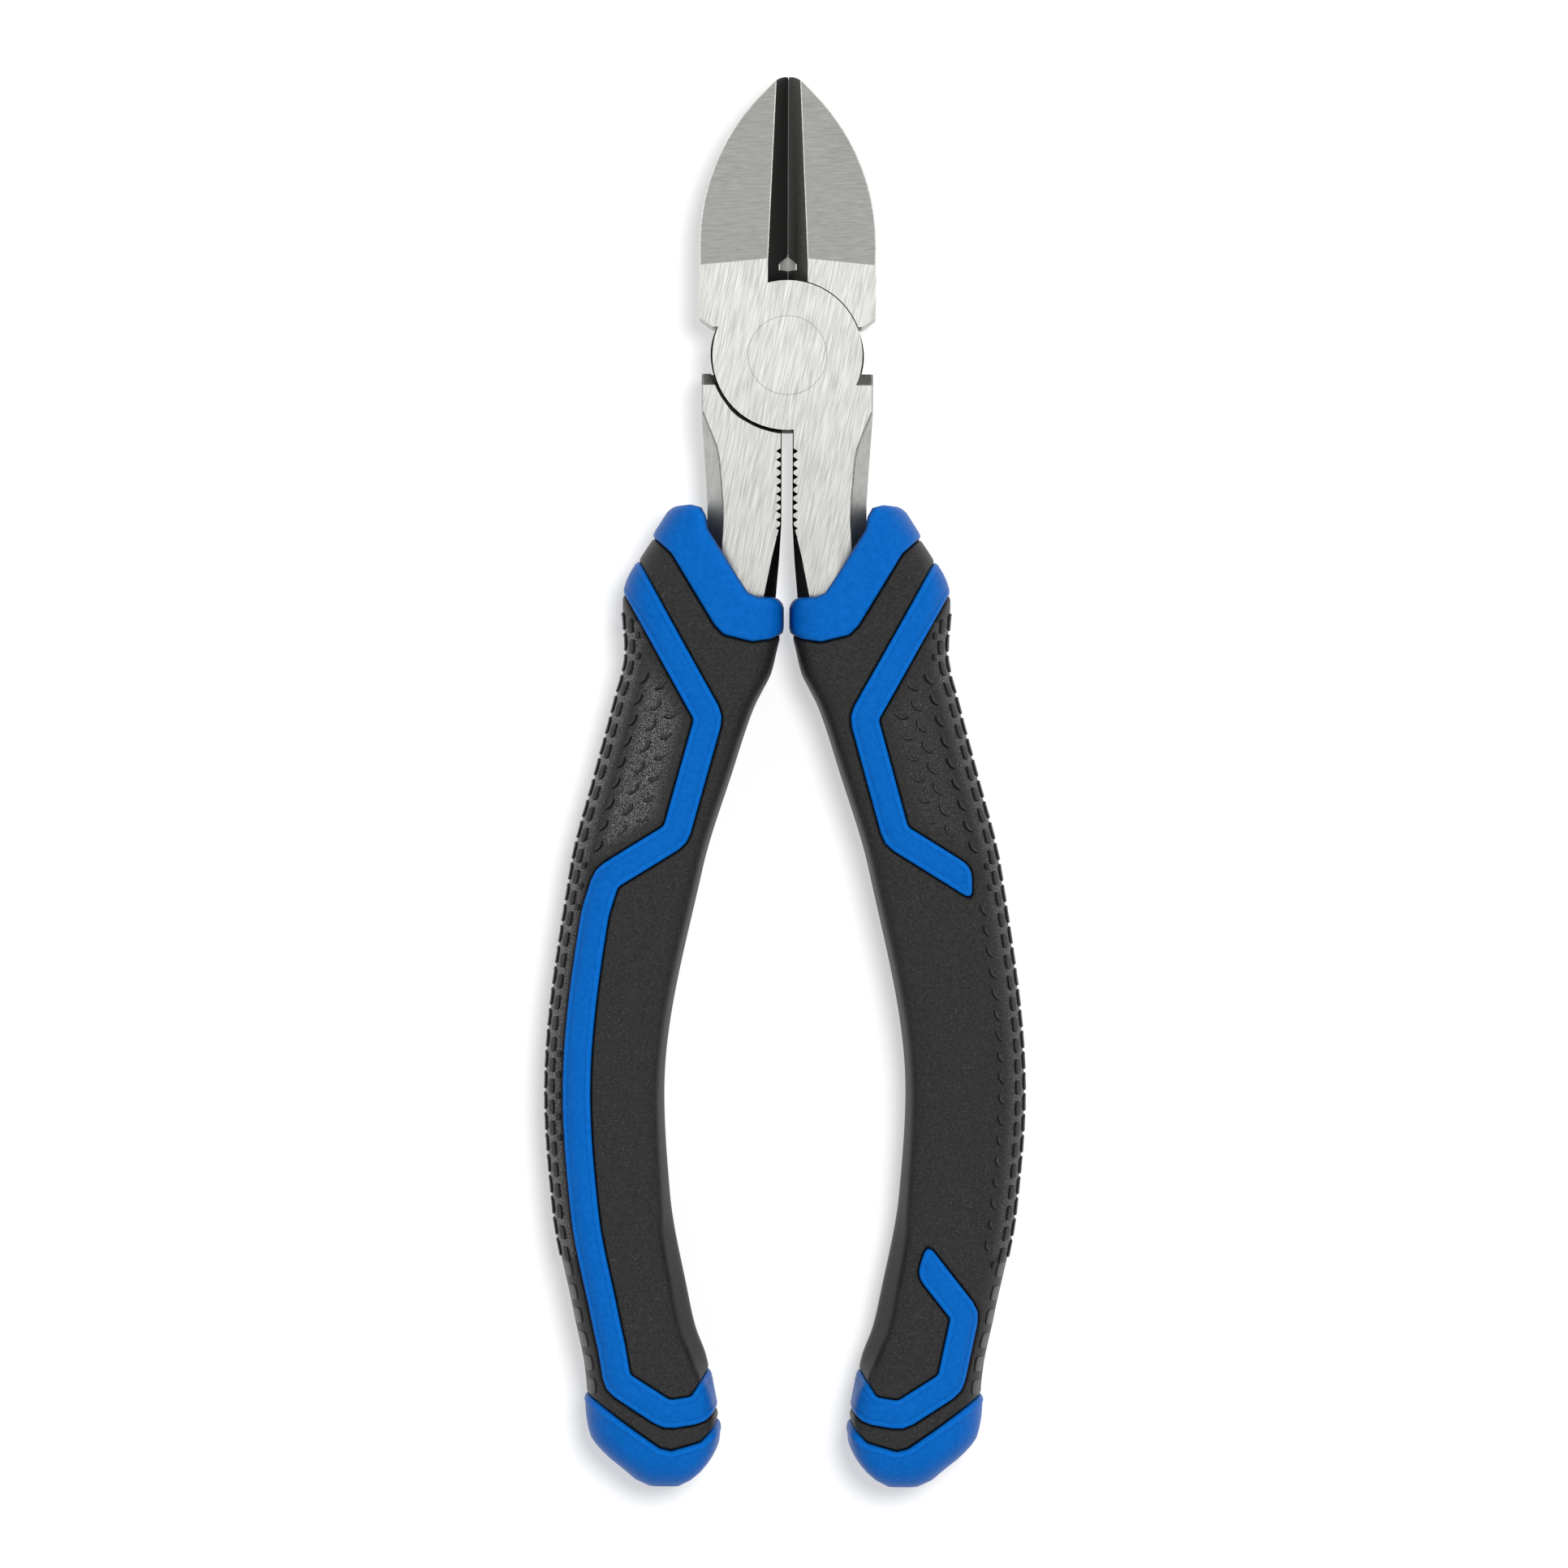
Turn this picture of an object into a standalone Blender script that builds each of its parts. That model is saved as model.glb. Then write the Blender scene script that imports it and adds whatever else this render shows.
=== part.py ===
"""Diagonal cutting pliers: two forged levers on a flush rivet, with two-colour moulded grips.

Metres, +Z up.  The tool lies flat: +Y points to the jaw tips, +X to the right, +Z out of the front face.
The origin is the centre of the joint's rear face, on the pivot axis.  Both levers are one forging, and the
second is the first turned over about the Y axis through the middle of the joint.  Each half is modelled about
that middle plane: jaw on the -X side, handle on the +X side, lap disc on the +Z side.
"""

import math

import bmesh
import bpy
from mathutils import Vector

# Joint
JOINT_THICKNESS = 0.0100
DISC_RADIUS = 0.00875
RIVET_SHANK_RADIUS = 0.0030
RIVET_HEAD_RADIUS = 0.0045
RIVET_HEAD_DEPTH = 0.0016

# Jaws
HEAD_WIDTH = 0.0206
JAW_LENGTH = 0.0328
JAW_CURVE_START = 0.0130
JAW_TIP_WIDTH = 0.0030
JAW_TIP_THICKNESS = 0.0060
JAW_TAPER_START = 0.0115
JAW_TAPER_SKEW = 0.0010
JAW_SHOULDER = 0.0044
JAW_SHOULDER_SLOPE = 0.0011
BEVEL_ANGLE = math.radians(25.0)
CUTTING_LAND = 0.0002
WIRE_NOTCH_WIDTH = 0.0021
WIRE_NOTCH_WALL = 0.0009
WIRE_NOTCH_PEAK = 0.0008
WIRE_NOTCH_RISE = 0.0012

# Necks, from the joint down to the grips
NECK_SHOULDER = 0.0021
NECK_SHOULDER_DROP = 0.0014
NECK_SHOULDER_DEPTH = 0.0024
NECK_GAP = 0.0013
NECK_WAIST = 0.0007
FORGED_BEVEL_START = 0.0068
FORGED_BEVEL_RUN = 0.0054
FORGED_BEVEL_WIDTH = 0.0019
FORGED_BEVEL_DEPTH = 0.0028
INNER_BEVEL_START = 0.0195
INNER_BEVEL_WIDTH = 0.0014
INNER_BEVEL_DEPTH = 0.0034
TOOTH_PITCH = 0.0010
TOOTH_DEPTH = 0.00058
TOOTH_CUT = 0.0022
TOOTH_OPENING = 0.00074
TOOTH_COUNT = 12
TOOTH_START = 0.0112

# Tangs, inside the grips
TANG_END_RISE = 0.0200
TANG_TURN_AT_MOUTH = 0.12
TANG_STEPS = 6

# Grips
HANDLE_LENGTH = 0.1325
GRIP_SPREAD = 0.0280
GRIP_WIDTH = 0.0139
GRIP_BELLY = 0.65
GRIP_GAP = 0.0012
COLLAR_WALL = 0.0027
GRIP_WAIST = 0.0005
GRIP_FLATNESS = 1.07
GRIP_ROUNDNESS = 2.7
COVER_FLOOR = 0.0006
CORE_WALL = 0.0015
CORE_SETBACK = 0.0040
CORE_END_RISE = 0.0035
CORE_STEPS = 9
COLLAR_PROUD = 0.0003
CAP_PROUD = 0.0003
STRIPE_WIDTH = 0.0034
STRIPE_INSET = 0.0037
STRIPE_DEPTH = 0.0010
STRIPE_PROUD = 0.0002
STRIPE_SLANT = math.radians(43.0)

# Clearances
FIT = 0.0003
LAP_GAP = 0.0002
JAW_DISC_GAP = 0.00012
NECK_DISC_GAP = 0.0004
RIVET_GAP = 0.00012
EDGE_GAP = 0.0001

# Facets
DISC_SIDES = 56
RIVET_SIDES = 41
JAW_ARC_STEPS = 12
JAW_NOSE_STEPS = 3
GRIP_SIDES = 24
CORE_SIDES = 12

# Upper part of a grip's outer edge: distance below the pivot, distance beyond the side of the head.
OUTER_EDGE_TOP = [(0.0150, 0.0008), (0.0178, 0.0030), (0.0207, 0.0049), (0.0239, 0.0070), (0.0266, 0.0084),
                  (0.0287, 0.0089), (0.0345, 0.0085), (0.0409, 0.0099), (0.0485, 0.0119), (0.0600, 0.0148)]
# Lower part: rise above the grip's end, distance from the tool's axis.
OUTER_EDGE_END = [(0.0325, 0.0270), (0.0205, 0.0246), (0.0125, 0.0231), (0.0095, 0.0230), (0.0063, 0.0225),
                  (0.0041, 0.0210), (0.0020, 0.0186), (0.0, 0.0163)]
# Upper part of the inner edge: distance below the pivot, distance from its place at the collar.
INNER_EDGE_TOP = [(0.0150, 0.0), (0.0320, 0.0), (0.0345, 0.0005), (0.0370, 0.0011), (0.0390, 0.0021),
                  (0.0410, 0.0031), (0.0485, 0.0056), (0.0600, 0.0091)]
# Lower part: rise above the grip's end, distance from the axis.
INNER_EDGE_END = [(0.0345, 0.0134), (0.0230, 0.0113), (0.0190, 0.0104), (0.0155, 0.0091), (0.0117, 0.0083),
                  (0.0077, 0.0076), (0.0056, 0.0077), (0.0041, 0.0083), (0.0020, 0.0096), (0.0, 0.0118)]
# How much thinner the last of the grip gets: rise above the end, share of the half thickness.
END_ROUNDING = [(0.0068, 1.0), (0.0041, 0.97), (0.0020, 0.88), (0.0, 0.68)]
# The collar's mouth and its lower edge, from the outer side in: distance from the axis, below the pivot.
MOUTH_LINE = [(0.0140, 0.0172), (0.0114, 0.0172), (0.0102, 0.0177), (0.0095, 0.0188), (0.0092, 0.0203),
              (0.0058, 0.0257), (0.0044, 0.0277), (0.0032, 0.0282), (-0.0030, 0.0282)]
COLLAR_LINE = [(0.0157, 0.0212), (0.0135, 0.0232), (0.0084, 0.0316), (0.0073, 0.0327), (0.0040, 0.0335),
               (0.0018, 0.0332), (-0.0030, 0.0305)]
# The end cap's upper edge: distance from the axis, rise above the grip's end.
CAP_LINE = [(0.0230, 0.0109), (0.0142, 0.0047), (0.0131, 0.0045), (0.0096, 0.0055), (0.0083, 0.0067),
            (0.0040, 0.0140)]
# Corners of the stripe's centreline near the collar: distance beyond the side of the head, below the pivot.
STRIPE_TOP = [(0.0105, 0.0213), (-0.0013, 0.0423), (0.0025, 0.0560), (0.0106, 0.0610)]
# Where the front run stops, measured the same way.
STRIPE_BREAK = (0.0119, 0.0618)
# Corners near the end cap: from the axis, rise above the grip's end.
STRIPE_END = [(0.0194, 0.0128), (0.0136, 0.0091), (0.0098, 0.0097), (0.0060, 0.0150)]
STRIPE_RESTART = [(0.0169, 0.0270), (0.0211, 0.0208)]
STRIPE_STEPS = 10

# Fits that follow from the sizes above
MOUTH_TOP = MOUTH_LINE[0][1]
MOUTH_BOTTOM = MOUTH_LINE[-1][1]
COVER_WALL = STRIPE_DEPTH + 2.0 * FIT + COVER_FLOOR
CORE_TOP = max(below for x, below in COLLAR_LINE) + CORE_SETBACK
GRIP_REACH = JOINT_THICKNESS + COLLAR_WALL


def clear_scene():
    for item in list(bpy.data.objects):
        bpy.data.objects.remove(item, do_unlink=True)


def material(name, colour, roughness, metallic):
    made = bpy.data.materials.new(name)
    made.use_nodes = True
    shader = made.node_tree.nodes["Principled BSDF"]
    shader.inputs["Base Color"].default_value = (*colour, 1.0)
    shader.inputs["Roughness"].default_value = roughness
    shader.inputs["Metallic"].default_value = metallic
    made.diffuse_color = (*colour, 1.0)
    return made


def as_object(name, bm):
    """Turn a closed bmesh into a triangulated object with its faces pointing out."""
    bmesh.ops.recalc_face_normals(bm, faces=bm.faces)
    bmesh.ops.triangulate(bm, faces=bm.faces)
    mesh = bpy.data.meshes.new(name)
    bm.to_mesh(mesh)
    bm.free()
    made = bpy.data.objects.new(name, mesh)
    bpy.context.scene.collection.objects.link(made)
    return made


def loft(name, rings):
    """A closed solid through rings that have the same number of points."""
    bm = bmesh.new()
    loops = [[bm.verts.new(point) for point in ring] for ring in rings]
    for first, second in zip(loops, loops[1:]):
        for k in range(len(first)):
            after = (k + 1) % len(first)
            bm.faces.new((first[k], first[after], second[after], second[k]))
    bm.faces.new(loops[0])
    bm.faces.new(loops[-1])
    return as_object(name, bm)


def prism(name, outlines, low, high):
    """Plan outlines, each a list of (x, y), raised from one height to another."""
    bm = bmesh.new()
    for outline in outlines:
        floor = bm.faces.new([bm.verts.new((x, y, low)) for x, y in outline])
        raised = bmesh.ops.extrude_face_region(bm, geom=[floor])
        top = [item for item in raised["geom"] if isinstance(item, bmesh.types.BMVert)]
        bmesh.ops.translate(bm, verts=top, vec=(0.0, 0.0, high - low))
    return as_object(name, bm)


def turned(name, profile, sides):
    """A solid of revolution about Z from (radius, height) points."""
    rings = []
    for radius, height in profile:
        ring = []
        for k in range(sides):
            angle = 2.0 * math.pi * k / sides
            ring.append((radius * math.cos(angle), radius * math.sin(angle), height))
        rings.append(ring)
    return loft(name, rings)


def combine(base, other, operation):
    """Apply a boolean to base and remove the other solid."""
    step = base.modifiers.new(operation.lower(), "BOOLEAN")
    step.operation = operation
    step.solver = "EXACT"
    step.object = other
    graph = bpy.context.evaluated_depsgraph_get()
    result = bpy.data.meshes.new_from_object(base.evaluated_get(graph))
    base.modifiers.clear()
    base.data = result
    bpy.data.objects.remove(other, do_unlink=True)
    return base


def slice_off(bm, point, normal):
    """Cut a convex solid by a plane and keep the side that the normal points away from."""
    everything = bm.verts[:] + bm.edges[:] + bm.faces[:]
    cut = bmesh.ops.bisect_plane(bm, geom=everything, plane_co=point, plane_no=normal, clear_outer=True)
    rim = [item for item in cut["geom_cut"] if isinstance(item, bmesh.types.BMEdge)]
    bmesh.ops.contextual_create(bm, geom=rim)


def smooth(points, place):
    """Read a curve through (place, value) points, rising in place, without overshoot."""
    if place <= points[0][0]:
        return points[0][1]
    if place >= points[-1][0]:
        return points[-1][1]
    slopes = []
    for (p, a), (q, b) in zip(points, points[1:]):
        slopes.append((b - a) / (q - p))
    tangents = [slopes[0]]
    for before, after in zip(slopes, slopes[1:]):
        same_way = before * after > 0.0
        tangents.append(2.0 * before * after / (before + after) if same_way else 0.0)
    tangents.append(slopes[-1])
    k = max(i for i in range(len(points) - 1) if points[i][0] <= place)
    (p, a), (q, b) = points[k], points[k + 1]
    t = (place - p) / (q - p)
    rise = (q - p) * ((t - 2.0 * t ** 2 + t ** 3) * tangents[k] + (t ** 3 - t ** 2) * tangents[k + 1])
    return a * (1.0 - 3.0 * t ** 2 + 2.0 * t ** 3) + b * (3.0 * t ** 2 - 2.0 * t ** 3) + rise


def below_pivot(rise):
    """Distance below the pivot of a place given by its rise above the grip's end."""
    return HANDLE_LENGTH - rise


def belly_place():
    """Where the grip stands out furthest, between the upper and the lower part of its outer edge."""
    upper = OUTER_EDGE_TOP[-1][0]
    lower = below_pivot(OUTER_EDGE_END[0][0])
    return upper + (lower - upper) * GRIP_BELLY


def outer_edge(below):
    top = [(place, HEAD_WIDTH / 2.0 + x) for place, x in OUTER_EDGE_TOP]
    end = [(below_pivot(rise), x) for rise, x in OUTER_EDGE_END]
    return smooth(top + [(belly_place(), GRIP_SPREAD)] + end, below)


def inner_edge(below):
    top = [(place, GRIP_GAP / 2.0 + x) for place, x in INNER_EDGE_TOP]
    end = [(below_pivot(rise), x) for rise, x in INNER_EDGE_END]
    return smooth(top + [(belly_place(), GRIP_SPREAD - GRIP_WIDTH)] + end, below)


def half_thickness(below):
    """Half the grip's thickness: full at the collar and the cap, a little less between."""
    full = JOINT_THICKNESS / 2.0 + COLLAR_WALL
    cap = below_pivot(CAP_LINE[0][1])
    body = smooth([(CORE_TOP, full), (belly_place(), full - GRIP_WAIST), (cap, full)], below)
    return body * smooth([(below_pivot(rise), share) for rise, share in END_ROUNDING], below)


def grip_ring(below, grow, sides):
    """A flattened superellipse across the grip, grown outward by an offset."""
    left = inner_edge(below) - grow
    right = outer_edge(below) + grow
    half_width = (right - left) / 2.0
    height = half_thickness(below) + grow
    place = -below - grow if below >= HANDLE_LENGTH else -below
    ring = []
    for k in range(sides):
        angle = 2.0 * math.pi * k / sides
        across = math.copysign(abs(math.cos(angle)) ** (2.0 / GRIP_ROUNDNESS), math.cos(angle))
        up = min(1.0, GRIP_FLATNESS * abs(math.sin(angle)) ** (2.0 / GRIP_ROUNDNESS))
        ring.append((left + half_width * (1.0 + across), place, math.copysign(up * height, math.sin(angle))))
    return ring


def evenly(start, end, steps):
    """Places from start to end, both included."""
    return [start + (end - start) * k / steps for k in range(steps + 1)]


def grip_stations():
    """Distances below the pivot where a grip's section is taken."""
    places = [place for place, x in OUTER_EDGE_TOP] + [CORE_TOP]
    places += evenly(OUTER_EDGE_TOP[-1][0], belly_place(), 3)[1:]
    places += evenly(belly_place(), below_pivot(OUTER_EDGE_END[0][0]), 2)[1:]
    places += [below_pivot(rise) for rise, x in OUTER_EDGE_END[1:]]
    places += [below_pivot(rise) for rise, x in INNER_EDGE_END[2:4]]
    return sorted(set(places))


def grip_solid(name, grow):
    return loft(name, [grip_ring(below, grow, GRIP_SIDES) for below in grip_stations()])


def offset_path(path, distance):
    """Shift a plan path to its left, with mitred corners."""
    points = [Vector(point) for point in path]
    ways = [(b - a).normalized() for a, b in zip(points, points[1:])]
    sides = [Vector((-way.y, way.x)) for way in ways]
    shifted = [points[0] + sides[0] * distance]
    for k in range(1, len(points) - 1):
        mitre = sides[k - 1] + sides[k]
        shifted.append(points[k] + mitre * (distance * 2.0 / mitre.length_squared))
    shifted.append(points[-1] + sides[-1] * distance)
    return [(point.x, point.y) for point in shifted]


def ribbon(path, width, slants, reach):
    """The outline of a band along a plan path, with each end cut on a slant and carried on by a reach."""
    outline = []
    for half, way in ((width / 2.0, 1), (-width / 2.0, -1)):
        edge = [Vector(point) for point in offset_path(path, half)]
        start = (edge[0] - edge[1]).normalized()
        end = (edge[-1] - edge[-2]).normalized()
        edge[0] += start * (reach + half * math.tan(slants[0]))
        edge[-1] += end * (reach + half * math.tan(slants[1]))
        outline += [(point.x, point.y) for point in edge[::way]]
    return outline


def in_plan(points):
    return [(x, -below) for x, below in points]


def from_side(points):
    return [(HEAD_WIDTH / 2.0 + x, -below) for x, below in points]


def from_end(points):
    return [(x, -below_pivot(rise)) for x, rise in points]


def zone_below(name, line):
    """Everything from a plan line, outer end first, down past the grip's end."""
    first = Vector(line[0])
    outward = (first - Vector(line[1])).normalized()
    start = first + outward * GRIP_SPREAD
    far = -(HANDLE_LENGTH + GRIP_REACH)
    outline = [(start.x, start.y)] + line + [(line[-1][0], far), (start.x, far)]
    return prism(name, [outline], -GRIP_REACH, GRIP_REACH)


def tang_section(below):
    """Inner side, outer side and half thickness of the tang inside the grip's core."""
    wall = COVER_WALL + CORE_WALL + FIT
    return inner_edge(below) + wall, outer_edge(below) - wall, half_thickness(below) - wall


def neck_section(below):
    """The same for the neck above it, a little waisted towards the grip."""
    full = JOINT_THICKNESS / 2.0
    half = HEAD_WIDTH / 2.0 - FIT
    outer = smooth([(FORGED_BEVEL_START, half), (MOUTH_TOP, half - NECK_WAIST)], below)
    shoulder = [(NECK_SHOULDER, full - NECK_SHOULDER_DEPTH), (NECK_SHOULDER + NECK_SHOULDER_DROP, full)]
    return NECK_GAP / 2.0, outer, smooth(shoulder, below)


def handle_ring(below, grow):
    """Section of a neck or tang: a rectangle with a forged outer bevel and an inner bevel."""
    turn = smooth([(INNER_BEVEL_START, 0.0), (MOUTH_BOTTOM, TANG_TURN_AT_MOUTH), (CORE_TOP, 1.0)], below)
    thin = smooth([(MOUTH_BOTTOM, 0.0), (CORE_TOP, 1.0)], below)
    neck = neck_section(below)
    tang = tang_section(max(below, CORE_TOP))
    inner = neck[0] * (1.0 - turn) + tang[0] * turn - grow
    outer = neck[1] * (1.0 - turn) + tang[1] * turn + grow
    height = neck[2] * (1.0 - thin) + tang[2] * thin + grow
    bevel_end = FORGED_BEVEL_START + FORGED_BEVEL_RUN
    forged = smooth([(FORGED_BEVEL_START, 0.1), (bevel_end, 0.9), (MOUTH_BOTTOM, 1.0), (CORE_TOP, 0.5)], below)
    ground = smooth([(INNER_BEVEL_START, 0.05), (MOUTH_BOTTOM, 1.0), (CORE_TOP, 0.5)], below)
    lip = outer - FORGED_BEVEL_WIDTH * forged
    lip_height = height - FORGED_BEVEL_DEPTH * forged
    land = inner + INNER_BEVEL_WIDTH * ground
    land_height = height - INNER_BEVEL_DEPTH * ground
    place = -below - grow if below >= below_pivot(TANG_END_RISE) else -below
    front = [(inner, land_height), (land, height), (lip, height), (outer, lip_height)]
    back = [(x, -z) for x, z in reversed(front)]
    return [(x, place, z) for x, z in front + back]


def handle_solid(name, grow):
    """The neck and tang of a lever, from the joint's shoulder to the end inside the grip."""
    shoulder = NECK_SHOULDER + NECK_SHOULDER_DROP
    places = [NECK_SHOULDER, shoulder, MOUTH_TOP]
    places += evenly(FORGED_BEVEL_START, FORGED_BEVEL_START + FORGED_BEVEL_RUN, 4)
    places += evenly(INNER_BEVEL_START, MOUTH_BOTTOM, 2)
    places += evenly(MOUTH_BOTTOM, CORE_TOP, 4)[1:]
    places += evenly(CORE_TOP, below_pivot(TANG_END_RISE), TANG_STEPS)[1:]
    return loft(name, [handle_ring(below, grow) for below in sorted(places)])


def jaw_outline():
    """Plan of a jaw: straight side, then an arc, tangent to the side, and a nose that rounds off the tip."""
    inner = -EDGE_GAP / 2.0
    side = -HEAD_WIDTH / 2.0
    tip = -JAW_TIP_WIDTH / 2.0
    run = tip - side
    nose = jaw_arc(run, JAW_LENGTH - JAW_CURVE_START)[2] * (inner - tip) / 2.0
    radius, sweep, slope = jaw_arc(run, JAW_LENGTH - nose - JAW_CURVE_START)
    foot = JAW_SHOULDER - JAW_SHOULDER_SLOPE
    outline = [(inner, foot), (-DISC_RADIUS, foot), (side, JAW_SHOULDER)]
    for k in range(JAW_ARC_STEPS + 1):
        angle = sweep * k / JAW_ARC_STEPS
        outline.append((side + radius * (1.0 - math.cos(angle)), JAW_CURVE_START + radius * math.sin(angle)))
    for k in range(1, JAW_NOSE_STEPS + 1):
        share = k / JAW_NOSE_STEPS
        outline.append((tip + (inner - tip) * share, JAW_LENGTH - nose * (1.0 - share) ** 2))
    return outline


def jaw_arc(run, climb):
    """Radius, sweep and final slope of an arc that starts upright and goes in by run over a climb."""
    radius = (run ** 2 + climb ** 2) / (2.0 * run)
    sweep = math.asin(climb / radius)
    return radius, sweep, 1.0 / math.tan(sweep)


def jaw_solid(name):
    """A jaw with ground faces that taper to the tip and a cutting bevel on each face."""
    full = JOINT_THICKNESS / 2.0
    bm = bmesh.new()
    floor = bm.faces.new([bm.verts.new((x, y, -full)) for x, y in jaw_outline()])
    raised = bmesh.ops.extrude_face_region(bm, geom=[floor])
    top = [item for item in raised["geom"] if isinstance(item, bmesh.types.BMVert)]
    bmesh.ops.translate(bm, verts=top, vec=(0.0, 0.0, 2.0 * full))
    bmesh.ops.recalc_face_normals(bm, faces=bm.faces)
    for face in (1.0, -1.0):
        inner = Vector((0.0, JAW_TAPER_START, face * full))
        outer = Vector((-HEAD_WIDTH / 2.0, JAW_TAPER_START - JAW_TAPER_SKEW, face * full))
        tip = Vector((0.0, JAW_LENGTH, face * JAW_TIP_THICKNESS / 2.0))
        slice_off(bm, inner, face * (tip - inner).cross(outer - inner))
        edge = Vector((-EDGE_GAP / 2.0, 0.0, face * CUTTING_LAND / 2.0))
        slice_off(bm, edge, Vector((1.0, 0.0, face * math.tan(BEVEL_ANGLE))))
    return as_object(name, bm)


def lever_mesh():
    """One forged lever: jaw, half of the lap joint, neck and tang."""
    full = JOINT_THICKNESS / 2.0
    lever = combine(jaw_solid("lever"), disc_room("jaw_room", JAW_DISC_GAP), "DIFFERENCE")
    handle = combine(handle_solid("handle", 0.0), disc_room("neck_room", NECK_DISC_GAP), "DIFFERENCE")
    disc = turned("disc", [(DISC_RADIUS, LAP_GAP / 2.0), (DISC_RADIUS, full)], DISC_SIDES)
    lever = combine(lever, disc, "UNION")
    lever = combine(lever, handle, "UNION")
    shank = RIVET_SHANK_RADIUS + RIVET_GAP
    head = RIVET_HEAD_RADIUS + RIVET_GAP
    seat = full - RIVET_HEAD_DEPTH - RIVET_GAP
    bore = [(shank, -full), (shank, seat), (head, seat), (head, JOINT_THICKNESS)]
    lever = combine(lever, turned("bore", bore, RIVET_SIDES), "DIFFERENCE")
    notch = prism("notch", [wire_notch_outline()], -JOINT_THICKNESS, JOINT_THICKNESS)
    lever = combine(lever, notch, "DIFFERENCE")
    floor = full - TOOTH_CUT
    lever = combine(lever, prism("front_teeth", tooth_outlines(), floor, JOINT_THICKNESS), "DIFFERENCE")
    return combine(lever, prism("back_teeth", tooth_outlines(), -JOINT_THICKNESS, -floor), "DIFFERENCE").data


def disc_room(name, gap):
    """The space that the other lever's disc turns in, with a gap round it."""
    room = DISC_RADIUS + gap
    return turned(name, [(room, -JOINT_THICKNESS), (room, LAP_GAP / 2.0)], DISC_SIDES)


def tooth_outlines():
    """Serrations along the inner edge of the neck, cut into it from both faces."""
    edge = NECK_GAP / 2.0
    outlines = []
    for k in range(TOOTH_COUNT):
        middle = -(TOOTH_START + k * TOOTH_PITCH)
        half = TOOTH_OPENING / 2.0
        outlines.append([(edge - TOOTH_DEPTH, middle - 2.0 * half), (edge + TOOTH_DEPTH, middle),
                         (edge - TOOTH_DEPTH, middle + 2.0 * half)])
    return outlines


def wire_notch_outline():
    """Half of the house-shaped hole between the jaws, above the lap disc."""
    base = DISC_RADIUS + JAW_DISC_GAP + WIRE_NOTCH_RISE
    side = -WIRE_NOTCH_WIDTH / 2.0
    beyond = WIRE_NOTCH_WIDTH / 2.0
    eaves = base + WIRE_NOTCH_WALL
    ridge = eaves + WIRE_NOTCH_PEAK
    return [(beyond, base), (beyond, ridge), (0.0, ridge), (side, eaves), (side, base)]


def rivet_mesh():
    full = JOINT_THICKNESS / 2.0
    neck = full - RIVET_HEAD_DEPTH
    profile = [(RIVET_HEAD_RADIUS, -full), (RIVET_HEAD_RADIUS, -neck), (RIVET_SHANK_RADIUS, -neck),
               (RIVET_SHANK_RADIUS, neck), (RIVET_HEAD_RADIUS, neck), (RIVET_HEAD_RADIUS, full)]
    return turned("rivet", profile, RIVET_SIDES).data


def core_solid(name, grow):
    """The hard sleeve round the tang, without its hole."""
    places = evenly(CORE_TOP - grow, below_pivot(CORE_END_RISE) + grow, CORE_STEPS)
    return loft(name, [grip_ring(below, grow - COVER_WALL, CORE_SIDES) for below in places])


def stripe_paths():
    """The stripe's centrelines, one on the back face and two on the front, with the slants of their ends."""
    top = from_side(STRIPE_TOP)
    end = from_end(STRIPE_END)
    run = []
    for below in evenly(STRIPE_TOP[-1][1], below_pivot(STRIPE_END[0][1]), STRIPE_STEPS)[1:-1]:
        run.append((outer_edge(below) - STRIPE_INSET, -below))
    broken = top[:-1] + from_side([STRIPE_BREAK])
    restart = from_end(STRIPE_RESTART) + end
    back = [(top + run + end, (0.0, 0.0))]
    return back, [(broken, (0.0, -STRIPE_SLANT)), (restart, (STRIPE_SLANT, 0.0))]


def stripe_bands(name, room):
    """The stripe's plan with some room round it, raised through the back and through the front of the grip."""
    overlap = STRIPE_WIDTH / 4.0
    width = STRIPE_WIDTH + 2.0 * room
    back, front = [[ribbon(path, width, slants, room) for path, slants in face] for face in stripe_paths()]
    return [prism(name + "_back", back, -GRIP_REACH, overlap),
            prism(name + "_front", front, -overlap, GRIP_REACH)]


def stripe_mesh():
    """A ribbon of one thickness in the grip's skin, joined where it wraps the edges."""
    halves = []
    for band in stripe_bands("stripe", 0.0):
        half = combine(band, grip_solid("skin", STRIPE_PROUD), "INTERSECT")
        halves.append(combine(half, grip_solid("under", -STRIPE_DEPTH), "DIFFERENCE"))
    return combine(halves[0], halves[1], "UNION").data


def collar_mesh():
    """The blue ring between the mouth and the cover, with the neck's opening through it."""
    collar = combine(grip_solid("collar", COLLAR_PROUD), zone_below("mouth", in_plan(MOUTH_LINE)), "INTERSECT")
    collar = combine(collar, zone_below("lower_edge", in_plan(COLLAR_LINE)), "DIFFERENCE")
    return combine(collar, handle_solid("opening", FIT), "DIFFERENCE").data


def cap_mesh():
    cap = combine(grip_solid("cap", CAP_PROUD), zone_below("end", from_end(CAP_LINE)), "INTERSECT")
    return combine(cap, core_solid("socket", FIT), "DIFFERENCE").data


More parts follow.
